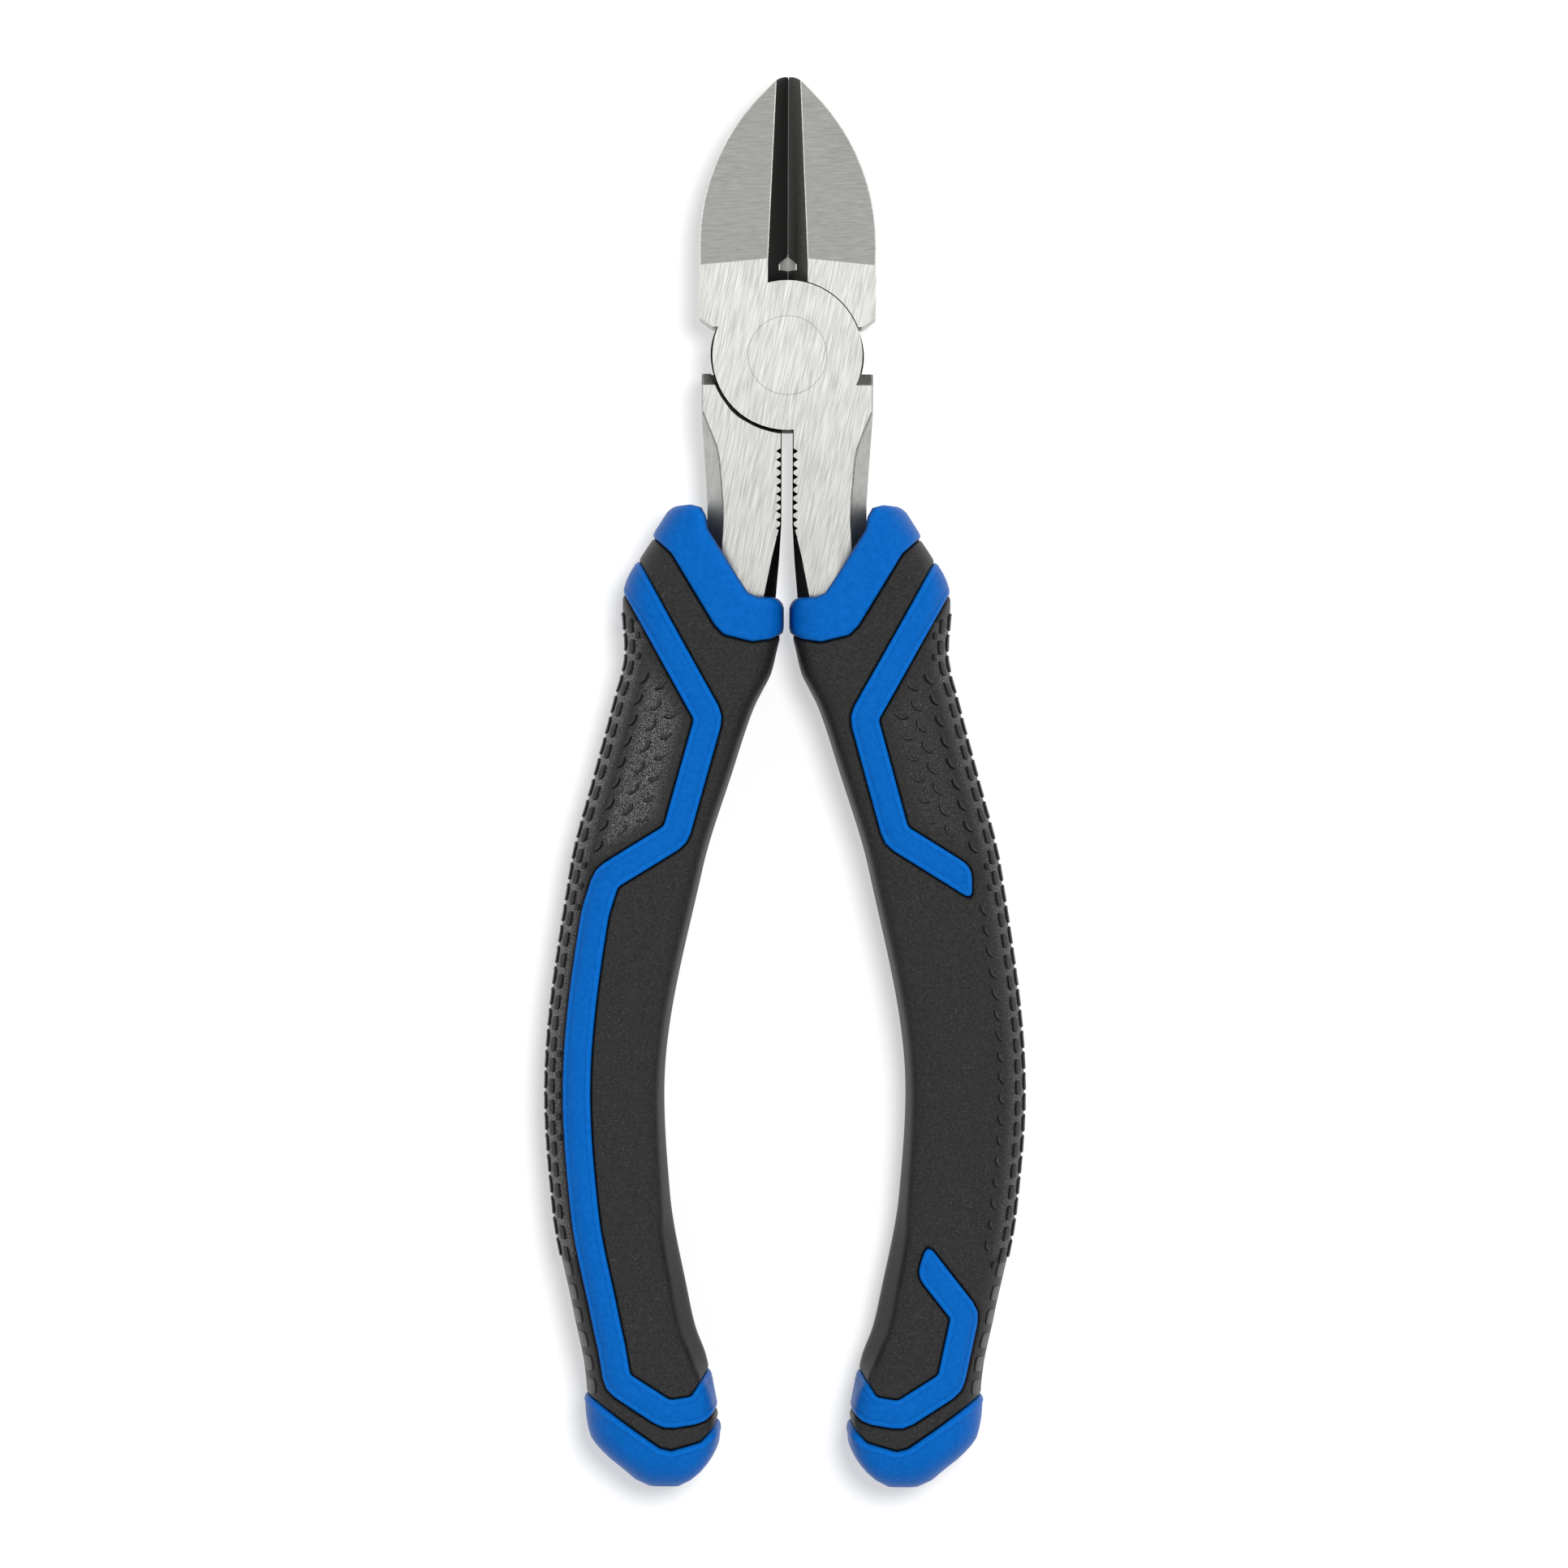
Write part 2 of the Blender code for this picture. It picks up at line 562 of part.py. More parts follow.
def cover_mesh():
    """The soft cover: between collar and cap, hollow for the core and tang, with the stripe's channel."""
    top = zone_below("cover_top", offset_path(in_plan(COLLAR_LINE), FIT))
    bottom = zone_below("cover_bottom", offset_path(from_end(CAP_LINE), -FIT))
    cover = combine(grip_solid("cover", 0.0), top, "INTERSECT")
    cover = combine(cover, bottom, "DIFFERENCE")
    cover = combine(cover, core_solid("hollow", FIT), "DIFFERENCE")
    cover = combine(cover, handle_solid("passage", FIT), "DIFFERENCE")
    for band in stripe_bands("channel", FIT):
        channel = combine(band, grip_solid("channel_floor", -STRIPE_DEPTH - FIT), "DIFFERENCE")
        cover = combine(cover, channel, "DIFFERENCE")
    return cover.data


def core_mesh():
    return combine(core_solid("core", 0.0), handle_solid("tang", FIT), "DIFFERENCE").data


def half_axis(name, turned_over):
    """An empty on the pivot axis, in the middle of the joint, that carries one half of the tool."""
    axis = bpy.data.objects.new(name, None)
    axis.location = (0.0, 0.0, JOINT_THICKNESS / 2.0)
    axis.rotation_euler = (0.0, math.pi if turned_over else 0.0, 0.0)
    bpy.context.scene.collection.objects.link(axis)
    return axis


def place(name, mesh, finish, axis):
    """One named piece that hangs on a half's axis."""
    piece = bpy.data.objects.new(name, mesh)
    piece.parent = axis
    mesh.materials.clear()
    mesh.materials.append(finish)
    mesh.shade_smooth()
    mesh.set_sharp_from_angle(angle=math.radians(28.0))
    bpy.context.scene.collection.objects.link(piece)
    return piece


def build():
    clear_scene()
    steel = material("ground_steel", (0.72, 0.72, 0.70), 0.35, 1.0)
    rivet_steel = material("rivet_steel", (0.76, 0.76, 0.74), 0.30, 1.0)
    hard_plastic = material("core_plastic", (0.09, 0.09, 0.09), 0.60, 0.0)
    soft_black = material("soft_black", (0.036, 0.036, 0.037), 0.65, 0.0)
    blue = material("blue_plastic", (0.006, 0.135, 0.51), 0.42, 0.0)
    meshes = [("lever", lever_mesh(), steel), ("grip_core", core_mesh(), hard_plastic),
              ("grip_cover", cover_mesh(), soft_black), ("grip_collar", collar_mesh(), blue),
              ("grip_stripe", stripe_mesh(), blue), ("grip_end_cap", cap_mesh(), blue)]
    rivet = rivet_mesh()
    clear_scene()
    for lever_name, side, turned_over in (("front", "right", False), ("rear", "left", True)):
        axis = half_axis(lever_name + "_half_axis", turned_over)
        for name, mesh, finish in meshes:
            prefix = lever_name if name == "lever" else side
            place(prefix + "_" + name, mesh, finish, axis)
        if not turned_over:
            place("pivot_rivet", rivet, rivet_steel, axis)


build()
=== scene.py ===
"""Looks of the diagonal cutting pliers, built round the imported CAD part.

The steel comes from the CAD levers with softened edges.  The grips are one moulded skin, cut along the
lines where collar, cover, stripe and cap meet.  Sizes on the grips are in millimetres.
"""

import math

import bmesh
import bpy
import numpy as np
from mathutils import Euler, Matrix, Vector
from mathutils.geometry import delaunay_2d_cdt


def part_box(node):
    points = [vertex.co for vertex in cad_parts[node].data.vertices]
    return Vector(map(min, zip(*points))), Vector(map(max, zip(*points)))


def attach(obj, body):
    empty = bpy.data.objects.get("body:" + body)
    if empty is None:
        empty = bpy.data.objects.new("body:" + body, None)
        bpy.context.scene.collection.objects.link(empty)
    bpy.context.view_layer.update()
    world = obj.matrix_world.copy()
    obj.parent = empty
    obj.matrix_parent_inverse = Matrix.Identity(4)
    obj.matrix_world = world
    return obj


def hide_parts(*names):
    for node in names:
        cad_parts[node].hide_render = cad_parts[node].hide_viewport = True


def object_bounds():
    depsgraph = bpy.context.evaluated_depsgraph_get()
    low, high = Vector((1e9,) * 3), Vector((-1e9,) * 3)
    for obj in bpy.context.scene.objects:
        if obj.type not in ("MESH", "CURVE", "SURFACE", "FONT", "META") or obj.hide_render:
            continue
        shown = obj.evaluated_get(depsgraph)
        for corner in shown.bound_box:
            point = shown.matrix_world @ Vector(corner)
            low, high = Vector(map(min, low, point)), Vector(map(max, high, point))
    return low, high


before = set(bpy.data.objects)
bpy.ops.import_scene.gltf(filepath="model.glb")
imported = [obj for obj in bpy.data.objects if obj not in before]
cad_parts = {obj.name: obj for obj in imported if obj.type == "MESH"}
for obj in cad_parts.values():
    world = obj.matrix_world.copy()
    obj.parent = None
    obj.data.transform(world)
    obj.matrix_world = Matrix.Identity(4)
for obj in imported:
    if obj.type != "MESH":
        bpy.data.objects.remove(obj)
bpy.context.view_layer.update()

MM = 0.001
# Height of the plane between the two levers
MID = 5.0 * MM

# Camera: the width of the photo's view, its small lean, and where the camera stands
PHOTO_FRAME = 183.7 * MM
PHOTO_LEAN = math.radians(0.2)
CAMERA_HEIGHT = 1.0
CAMERA_PLACE = (-0.23 * MM, -50.0 * MM, MID + CAMERA_HEIGHT)
CAMERA_CLIP = (0.05, 10.0)
SENSOR = 36.0

# Light: the lamp's place, aim, size and power, and how much light the white world adds
KEY_PLACE = (0.16, 0.10, 1.14)
KEY_AIM = (0.0, -0.05, 0.0)
KEY_SIZE = 0.26
KEY_POWER = 11.5
WORLD_LIGHT = 0.28

# Floor: half its width, its drop below the part, its colour, and the strength and share of its glow
FLOOR_HALF = 1.5
FLOOR_DROP = 0.05 * MM
FLOOR_COLOUR = (0.9, 0.9, 0.9, 1.0)
FLOOR_ROUGHNESS = 0.9
GLOW_STRENGTH = 1.15
GLOW_SHARE = 0.46
WHITE = (1.0, 1.0, 1.0, 1.0)

# Grip outline: distance below the pivot, distance from the tool's axis
OUTER_EDGE = [(15.0, 11.1), (17.8, 13.3), (20.7, 15.2), (23.9, 17.3), (26.6, 18.7), (28.7, 19.2),
              (34.5, 18.8), (40.9, 20.2), (48.5, 22.2), (60.0, 25.1), (86.0, 28.0), (100.0, 27.0),
              (112.0, 24.6), (120.0, 23.1), (123.0, 23.0), (126.0, 22.5), (128.1, 20.9), (130.0, 18.6),
              (131.4, 16.9), (131.8, 15.9)]
INNER_EDGE = [(15.0, 0.6), (32.0, 0.6), (34.5, 1.1), (37.0, 1.7), (39.0, 2.7), (41.0, 3.7), (48.5, 6.2),
              (60.0, 9.7), (86.0, 14.1), (98.0, 13.4), (109.5, 11.3), (113.5, 10.4), (117.0, 9.1),
              (120.8, 8.3), (124.8, 7.6), (126.7, 7.7), (128.1, 8.2), (130.0, 9.5), (131.3, 11.0),
              (131.8, 12.0)]
HALF_THICKNESS = [(37.5, 7.7), (86.0, 7.2), (121.6, 7.7), (125.5, 7.7), (128.1, 7.47), (130.0, 6.8),
                  (131.4, 5.3), (131.8, 4.4)]
GRIP_END = 131.8
OUTER_ROUNDNESS = 2.9
INNER_ROUNDNESS = 4.2
# The flat along the inner side: how far in its crease lies, the height of its foot, and its darker tone,
# which is painted shade
CREASE_INSET = [(40.0, 0.25), (60.0, 0.3), (86.0, 0.6), (99.0, 1.0), (103.0, 1.6), (114.0, 2.0),
                (117.0, 1.8), (120.0, 0.9), (122.0, 0.4), (128.0, 0.3)]
CREASE_FOOT = 1.6
CREASE_SHARPNESS = 60.0
FLAT_PAINTED_SHADE = -0.5
FLAT_FADE = 0.3
FLAT_END = (116.5, 119.5)

# Lines between the pieces: distance from the axis, distance below the pivot
MOUTH_LINE = [(20.0, 17.2), (11.4, 17.2), (10.2, 17.7), (9.5, 18.8), (9.2, 20.3), (5.8, 25.7), (4.4, 27.7),
              (3.2, 28.2), (-3.0, 28.2)]
COLLAR_LINE = [(21.2, 16.2), (15.7, 21.2), (13.5, 23.2), (8.4, 31.6), (7.3, 32.7), (4.0, 33.5), (1.8, 33.2),
               (-3.0, 30.5)]
CAP_LINE = [(30.0, 116.4), (23.0, 121.3), (14.4, 127.3), (13.1, 127.6), (9.6, 126.6), (8.3, 125.4),
            (4.0, 118.1)]
STRIPE_TOP = [(20.8, 21.3), (9.0, 42.3), (12.8, 56.0), (20.9, 61.0)]
STRIPE_BREAK = (21.8, 61.55)
STRIPE_END = [(19.4, 119.7), (13.6, 123.4), (9.8, 122.8), (6.0, 117.5)]
STRIPE_RESTART = [(15.95, 105.2), (21.1, 111.7)]
STRIPE_WIDTH = 3.4
STRIPE_INSET = 3.7
STRIPE_SLANT = 1.1
# Rounding of the stripe's corners and ends: the cut, and the points of each arc
CORNER_CUT = 0.8
CORNER_POINTS = 3
END_CUT = 1.4
END_POINTS = 6
# A cut takes at most this share of the stretch beside it
LONGEST_CUT = 0.4
# Points along the whole stripe's run beside the outer edge
RUN_POINTS = 30

# Moulded profiles: distance past the line into the piece, height above the skin, tone (-1 dark, 1 light).
# The tone is painted light: painted shade in the groove along each line, painted highlights on the rims.
STRIPE_PROFILE = [(-0.34, 0.0, 0.0), (-0.10, -0.08, -0.7), (0.0, -0.28, -1.0), (0.10, 0.0, -0.2),
                  (0.22, 0.08, 0.25), (0.58, 0.20, 0.25), (0.68, 0.11, -0.45), (0.78, 0.19, 0.0)]
COLLAR_PROFILE = [(-0.36, 0.0, 0.0), (-0.12, -0.10, -0.7), (0.0, -0.26, -1.0), (0.10, 0.04, -0.2),
                  (0.30, 0.26, 0.2), (0.80, 0.34, 0.0)]
CAP_PROFILE = [(-0.36, 0.0, 0.0), (-0.12, -0.10, -0.7), (0.0, -0.24, -1.0), (0.10, 0.04, -0.2),
               (0.28, 0.22, 0.2), (0.55, 0.32, 0.4), (0.75, 0.24, -0.25), (0.95, 0.22, 0.0)]
MOUTH_PROFILE = [(0.0, -1.1, -0.9), (0.12, -0.70, -0.4), (0.35, -0.40, 0.3), (0.70, -0.16, 0.2),
                 (1.2, 0.0, 0.0)]
PROFILES = {"stripe": STRIPE_PROFILE, "collar": COLLAR_PROFILE, "cap": CAP_PROFILE, "mouth": MOUTH_PROFILE}
# Wall of the moulded shells
SHELL = 1.0

# Tread along the outer edge: its rows, bars across the edge, blocks beside them, then columns of fish scales
TREAD_ROWS = (31.0, 105.0)
TREAD_PITCH = 2.44
BAR_SIZE = (2.05, 6.4)
BLOCK_SIZE = (1.65, 1.15)
BLOCK_INSET = 0.85
BLOCK_SHIFT = 0.25
TREAD_HEIGHT = 0.24
# A block's rounded outline, its foot below the skin, and its rows: inset, share of its height
PAD_POINTS = 24
PAD_CORNER = 0.4
PAD_FOOT = (-0.03, -0.1)
PAD_PROFILE = [(0.04, 0.75), (0.14, 0.95), (0.24, 1.0)]
# Each column of scales: inset from the outer edge, shift in rows, heading from straight down, half span,
# lowest place
SCALE_COLUMNS = [(2.4, 0.70, math.radians(62.0), math.radians(58.0), 105.0),
                 (4.7, 0.95, math.radians(58.0), math.radians(75.0), 57.0),
                 (7.0, 0.34, math.radians(20.0), math.radians(70.0), 57.0),
                 (9.2, 0.75, math.radians(15.0), math.radians(70.0), 57.0)]
SCALE_RADIUS = 0.85
SCALE_HEIGHT = 0.26
SCALE_CLEARANCE = 1.3
# A painted highlight on the raised rows of each scale
SCALE_PAINTED_HIGHLIGHT = 0.9
# A scale's rows, from its root to below its lip: share of its radius, share of its height
SCALE_PROFILE = [(0.46, -0.3), (0.56, 0.75), (0.76, 1.0), (0.90, 0.9), (1.10, -0.3)]
SCALE_POINTS = 13
SCALE_FADE = 4.0
SCALE_SINK = 0.02
# Small blocks where the first column's scales don't fit beside the stripe
STUD_SIZE = (0.75, 0.7)
STUD_INSET = 1.6
STUD_CLEARANCE = 0.4
# The band under the tread, painted lighter as painted light on the bulge along the outer edge, and how
# much it gets painted glints on a grip's front (1) and back (-1); the back, which is the left grip's shown
# face, gets more, as painted light
TREAD_BAND = (1.0, 2.2)
TREAD_PAINTED_LIGHT = 0.75
TREAD_PAINTED_GLINTS = {1.0: 0.4, -1.0: 1.0}
# The glossy pebbled zone under the scales: how far it keeps from the stripe and from the outer edge, its
# ends, and how much painted glints it gets on a grip's front and back; these painted highlights are
# stronger on the back, which is the left grip's shown face, as painted light
PEBBLE_MARGIN = 0.9
PEBBLE_INSET = 2.6
PEBBLE_ENDS = (33.0, 58.5)
PEBBLE_FADE = 1.3
PEBBLE_DEPTH = 0.30
PEBBLE_PAINTED_GLINTS = {1.0: 0.18, -1.0: 1.0}
# Smooth pads below them
LOW_PAD_ROWS = (106.5, 121.0)
LOW_PAD_PITCH = 2.75
LOW_PAD_TURN = math.radians(36.0)
LOW_PAD_SIZE = (1.8, 1.9)
LOW_PAD_HEIGHT = 0.12

# Mesh density on the skin: millimetres to a radian, steps, and clearances
TURN_SCALE = 8.0
LATTICE = 0.8
TURN_MARGIN = 0.2
END_MARGIN = 0.3
LINE_STEP = 0.35
TRACE_STEP = 0.05
CLEAR_OF_LINES = 0.35
RIM_CLEARANCE = 0.15
RIM_TURNS = 30
HALVINGS = 40
SAME_POINT = 1e-4
SKIN_WELD = 0.02 * MM
END_RIM = 0.5
# What the skin's vertices tell its materials: the share of painted glints, and the tone of painted shade
# and painted highlights
SKIN_LAYERS = ("pebble", "tone")

# Steel: where a lever's finishes change, in the half's own frame, in millimetres
FACE_LEVEL = 4.8
JAW_START = 8.0
CUT_SIDE = -1.5
SHOULDER_ENDS = (-4.0, 3.0)
TOOTHED_SIDE = 4.5
TOOTHED_END = -34.0
# How squarely a face has to look up, or to a side
LEVEL = 0.995
NEARLY_LEVEL = 0.9
FACING = 0.3
STEEL_KINDS = ("face", "jaw", "forged", "shoulder", "oxide", "edge")
# The small flats on the levers' edges, in the order in which they are cut: width, finish and steps.
# The bright edge finish on them is a painted highlight along the edges.
# A flat comes out narrower where the edges beside it are short.
BEVEL_LINE = 0.15 * MM
JAW_RIM = 0.28 * MM
NECK_LINE = 0.12 * MM
TOOTH_LINE = 0.09 * MM
EDGE_BREAK = 0.06 * MM
EDGE_FLATS = [(BEVEL_LINE, "edge", 1), (JAW_RIM, "edge", 2), (NECK_LINE, "shoulder", 2),
              (TOOTH_LINE, "oxide", 2), (EDGE_BREAK, "edge", 2)]
SHARP_EDGE = math.radians(18.0)
TEETH_START = -8.0 * MM
TEETH_SIDE = 2.2 * MM
NECK_START = -6.0 * MM
STEEL_WELD = 0.002 * MM
SAME_PLANE = math.radians(0.6)
LEVER_CREASE = math.radians(24.0)
RIVET_RADIUS = 4.58 * MM
RIVET_SIDES = 96
RIVET_CREASE = math.radians(30.0)
# The dark strip between the cutting edges: its sides, and its stretches along the jaws
EDGE_STRIP = (-0.07 * MM, 0.043 * MM)
CUTTING_EDGES = [(8.7 * MM, 9.95 * MM), (12.0 * MM, 32.6 * MM)]
# A thin grey sheet, painted shade, at the bottom of the wire notch on each jaw, where the floor seen
# through the notch lies in shade: its sides, ends and half thickness
NOTCH_SHADE_SHEET = (-0.9 * MM, -0.05 * MM)
NOTCH_ENDS = (9.9 * MM, 12.1 * MM)
NOTCH_HALF = 0.05 * MM
# The dark crescent beside each joint disc, painted shade where the lower disc's rim lies in shade: its
# greatest width, its span from the -X side, and its levels
DISC_RADIUS = 8.75 * MM
CRESCENT_WIDTH = 0.22 * MM
CRESCENT_SPAN = (math.radians(-26.0), math.radians(30.0))
CRESCENT_LEVELS = (0.12 * MM, 4.7 * MM)
CRESCENT_POINTS = 25


def smooth(points, places):
    """Read a curve through (place, value) points, without overshoot, at an array of places."""
    at, value = np.array(points, float).T
    slopes = np.diff(value) / np.diff(at)
    before, after = slopes[:-1], slopes[1:]
    same_way = before * after > 0.0
    middle = np.where(same_way, 2.0 * before * after / np.where(same_way, before + after, 1.0), 0.0)
    tangents = np.concatenate([slopes[:1], middle, slopes[-1:]])
    place = np.clip(places, at[0], at[-1])
    k = np.clip(np.searchsorted(at, place, side="right") - 1, 0, len(at) - 2)
    span = at[k + 1] - at[k]
    t = (place - at[k]) / span
    rise = span * ((t - 2.0 * t ** 2 + t ** 3) * tangents[k] + (t ** 3 - t ** 2) * tangents[k + 1])
    start = value[k] * (1.0 - 3.0 * t ** 2 + 2.0 * t ** 3)
    end = value[k + 1] * (3.0 * t ** 2 - 2.0 * t ** 3)
    return start + end + rise


# Grip skin: a place on it is a turn (0 at the outer edge, pi at the inner edge) and a distance below the
# pivot

def section(below):
    """Middle, half width and half thickness of the grip."""
    inner = smooth(INNER_EDGE, below)
    outer = smooth(OUTER_EDGE, below)
    return (inner + outer) / 2.0, (outer - inner) / 2.0, smooth(HALF_THICKNESS, below)


def skin_radius(turn, below):
    """Distance from the grip's middle line to its skin."""
    half, height = section(below)[1:]
    across, up = np.cos(turn), np.abs(np.sin(turn))
    power = np.where(across > 0.0, OUTER_ROUNDNESS, INNER_ROUNDNESS)
    radius = ((np.abs(across) / half) ** power + (up / height) ** power) ** (-1.0 / power)
    inset = smooth(CREASE_INSET, below)
    crease = height * (1.0 - (1.0 - inset / half) ** INNER_ROUNDNESS) ** (1.0 / INNER_ROUNDNESS)
    drop = crease - CREASE_FOOT
    lean = np.maximum(inset * up - drop * across, 0.0)
    reach = drop * (half - inset) + inset * crease
    return (radius ** -CREASE_SHARPNESS + (lean / reach) ** CREASE_SHARPNESS) ** (-1.0 / CREASE_SHARPNESS)


def skin_base(turn, below, side):
    """Points on the skin of the front (side 1) or the back (side -1), before any moulding."""
    radius = skin_radius(turn, below)
    middle = section(below)[0]
    return np.stack([middle + radius * np.cos(turn), -below, side * radius * np.sin(turn)], axis=-1)


def skin_point(turn, below, side, height):
    """Points on the skin, lifted along its normal."""
    turn, below, height = np.broadcast_arrays(np.asarray(turn, float), np.asarray(below, float), height)
    step = 1e-3
    around = skin_base(turn + step, below, side) - skin_base(turn - step, below, side)
    along = skin_base(turn, below + step, side) - skin_base(turn, below - step, side)
    normal = side * np.cross(around, along)
    normal /= np.linalg.norm(normal, axis=-1, keepdims=True)
    return skin_base(turn, below, side) + normal * height[..., None]


def turn_at(x, below):
    """The turn at which the skin has this distance from the axis."""
    low, high = np.zeros_like(x), np.full_like(x, math.pi)
    for _ in range(HALVINGS):
        turn = (low + high) / 2.0
        beyond = skin_base(turn, below, 1.0)[..., 0] > x
        low, high = np.where(beyond, turn, low), np.where(beyond, high, turn)
    return (low + high) / 2.0


# Plan paths

def offset_path(path, distance):
    """Shift a plan path to its left, with mitred corners."""
    points = np.array(path, float)
    ways = np.diff(points, axis=0)
    ways /= np.linalg.norm(ways, axis=1, keepdims=True)
    sides = np.stack([-ways[:, 1], ways[:, 0]], axis=1)
    mitres = sides[:-1] + sides[1:]
    mitres *= 2.0 / np.sum(mitres ** 2, axis=1, keepdims=True)
    return points + distance * np.concatenate([sides[:1], mitres, sides[-1:]])


def rounded(path, cut, steps):
    """Take the corners off a path, each with a small arc of so many points."""
    points = np.array(path, float)
    out = [points[0]]
    for before, corner, after in zip(points, points[1:], points[2:]):
        first = corner + (before - corner) * min(LONGEST_CUT, cut / np.linalg.norm(before - corner))
        second = corner + (after - corner) * min(LONGEST_CUT, cut / np.linalg.norm(after - corner))
        out += [first * (1.0 - t) ** 2 + corner * 2.0 * t * (1.0 - t) + second * t ** 2
                for t in np.linspace(0.0, 1.0, steps)]
    return np.array(out + [points[-1]])


def plan(line):
    """Points (distance from the axis, distance below the pivot) as plan points, with Y upwards."""
    return [(x, -below) for x, below in line]


def stripe_paths(side):
    """Centrelines on the front (+1) or the back (-1) of a grip, with how far each end is slanted."""
    start, end = plan(STRIPE_TOP), plan(STRIPE_END)
    if side > 0.0:
        broken = start[:-1] + plan([STRIPE_BREAK])
        restart = plan(STRIPE_RESTART) + end
        return [(broken, 0.0, -STRIPE_SLANT), (restart, STRIPE_SLANT, 0.0)]
    places = np.linspace(STRIPE_TOP[-1][1], STRIPE_END[0][1], RUN_POINTS)[2:-2]
    run = list(zip(smooth(OUTER_EDGE, places) - STRIPE_INSET, -places))
    return [(start + run + end, 0.0, 0.0)]


def ribbon(path, start_slant, end_slant, inset):
    """Closed outline of the stripe along a path, drawn in by an inset."""
    middle = rounded(path, CORNER_CUT, CORNER_POINTS)
    half = STRIPE_WIDTH / 2.0 - inset
    left, right = offset_path(middle, half), offset_path(middle, -half)
    first, last = middle[1] - middle[0], middle[-1] - middle[-2]
    first, last = first / np.linalg.norm(first), last / np.linalg.norm(last)
    share = half / (STRIPE_WIDTH / 2.0)
    left[0] += first * (inset - start_slant * share)
    right[0] += first * (inset + start_slant * share)
    left[-1] += last * (end_slant * share - inset)
    right[-1] -= last * (end_slant * share + inset)
    end = rounded([left[-2], left[-1], right[-1], right[-2]], END_CUT, END_POINTS)[1:-1]
    start = rounded([right[1], right[0], left[0], left[1]], END_CUT, END_POINTS)[1:-1]
    return np.concatenate([left[1:-1], end, right[-2:0:-1], start, left[1:2]])


def distance_to(path, points):
    """Shortest distance from points to a path."""
    starts, ways = path[:-1], np.diff(path, axis=0)
    away = points[:, None, :] - starts[None]
    share = np.clip(np.sum(away * ways, axis=2) / np.sum(ways ** 2, axis=1), 0.0, 1.0)
    return np.sqrt(np.min(np.sum((away - share[..., None] * ways) ** 2, axis=2), axis=1))


def inside(outline, points):
    """Which points lie inside a closed outline."""
    x, y = points[:, :1], points[:, 1:]
    (x0, y0), (x1, y1) = outline[:-1].T, outline[1:].T
    spans = (y0 > y) != (y1 > y)
    run = np.where(spans, (x1 - x0) * (y - y0) / np.where(y1 == y0, 1.0, y1 - y0) + x0, 0.0)
    return np.sum(spans & (x < run), axis=1) % 2 == 1


def past_line(line, points):
    """Signed distance past a line that runs from the outer side in: positive on its lower side."""
    line = np.array(plan(line))
    height = np.interp(points[:, 0], line[::-1, 0], line[::-1, 1])
    return distance_to(line, points) * np.sign(height - points[:, 1])


def measure(points, side):
    """Distances past each line at plan points on one face, each positive inside its piece."""
    stripe = np.full(len(points), -np.inf)
    for path, first, last in stripe_paths(side):
        outline = ribbon(path, first, last, 0.0)
        sign = np.where(inside(outline, points), 1.0, -1.0)
        stripe = np.maximum(stripe, sign * distance_to(outline, points))
    return {"stripe": stripe, "collar": -past_line(COLLAR_LINE, points), "cap": past_line(CAP_LINE, points),
            "mouth": past_line(MOUTH_LINE, points)}


def measure_at(flat, side):
    """The same distances at places on the skin, given as rows of (turn, below)."""
    return measure(skin_base(flat[:, 0], flat[:, 1], side)[:, :2], side)


def moulding(past):
    """Height of the moulding above the skin, and its tone."""
    total = np.zeros((2, len(past["stripe"])))
    for name, profile in PROFILES.items():
        depth, height, tone = np.array(profile).T
        total += [np.interp(past[name], depth, height), np.interp(past[name], depth, tone)]
    return total


def feature_lines(side):
    """Every plan path that the skin's mesh has to follow on one face."""
    lines = []
    for path, first, last in stripe_paths(side):
        lines += [ribbon(path, first, last, depth) for depth, height, tone in STRIPE_PROFILE]
    for line, profile, way in ((COLLAR_LINE, COLLAR_PROFILE, -1.0), (CAP_LINE, CAP_PROFILE, 1.0),
                               (MOUTH_LINE, MOUTH_PROFILE, 1.0)):
        lines += [offset_path(plan(line), way * depth) for depth, height, tone in profile]
    return lines


def finely(line):
    """The points of a path at a fine, even step."""
    points = [line[:1]]
    for a, b in zip(line, line[1:]):
        count = max(1, math.ceil(np.linalg.norm(b - a) / TRACE_STEP))
        points.append(a + (b - a) * (np.arange(1, count + 1) / count)[:, None])
    return np.concatenate(points)


def thinned(turn, below):
    """The places along a path that lie a line step apart."""
    kept = [(turn[0], below[0])]
    for t, b in zip(turn, below):
        if math.hypot((t - kept[-1][0]) * TURN_SCALE, b - kept[-1][1]) > LINE_STEP:
            kept.append((t, b))
    return kept


def nearest_rim(turn):
    return 0.0 if turn < math.pi / 2.0 else math.pi


def trace(line):
    """Stretches of a plan path that lie on the skin, as arrays of (turn, below)."""
    points = finely(line)
    x, below = points[:, 0], -points[:, 1]
    middle = section(below)[0]
    outer = middle + skin_radius(np.zeros_like(below), below)
    inner = middle - skin_radius(np.full_like(below, math.pi), below)
    on_skin = (x < outer) & (x > inner) & (below < GRIP_END)
    stretches = []
    for group in np.split(np.arange(len(x)), np.flatnonzero(np.diff(on_skin.astype(int))) + 1):
        if not on_skin[group[0]] or len(group) < 3:
            continue
        turn, place = turn_at(x[group], below[group]), below[group]
        kept = thinned(turn, place)
        if group[0] > 0:
            kept.insert(0, (nearest_rim(turn[0]), place[0]))
        if group[-1] < len(x) - 1:
            kept.append((nearest_rim(turn[-1]), place[-1]))
        stretches.append(np.array(kept))
    return stretches


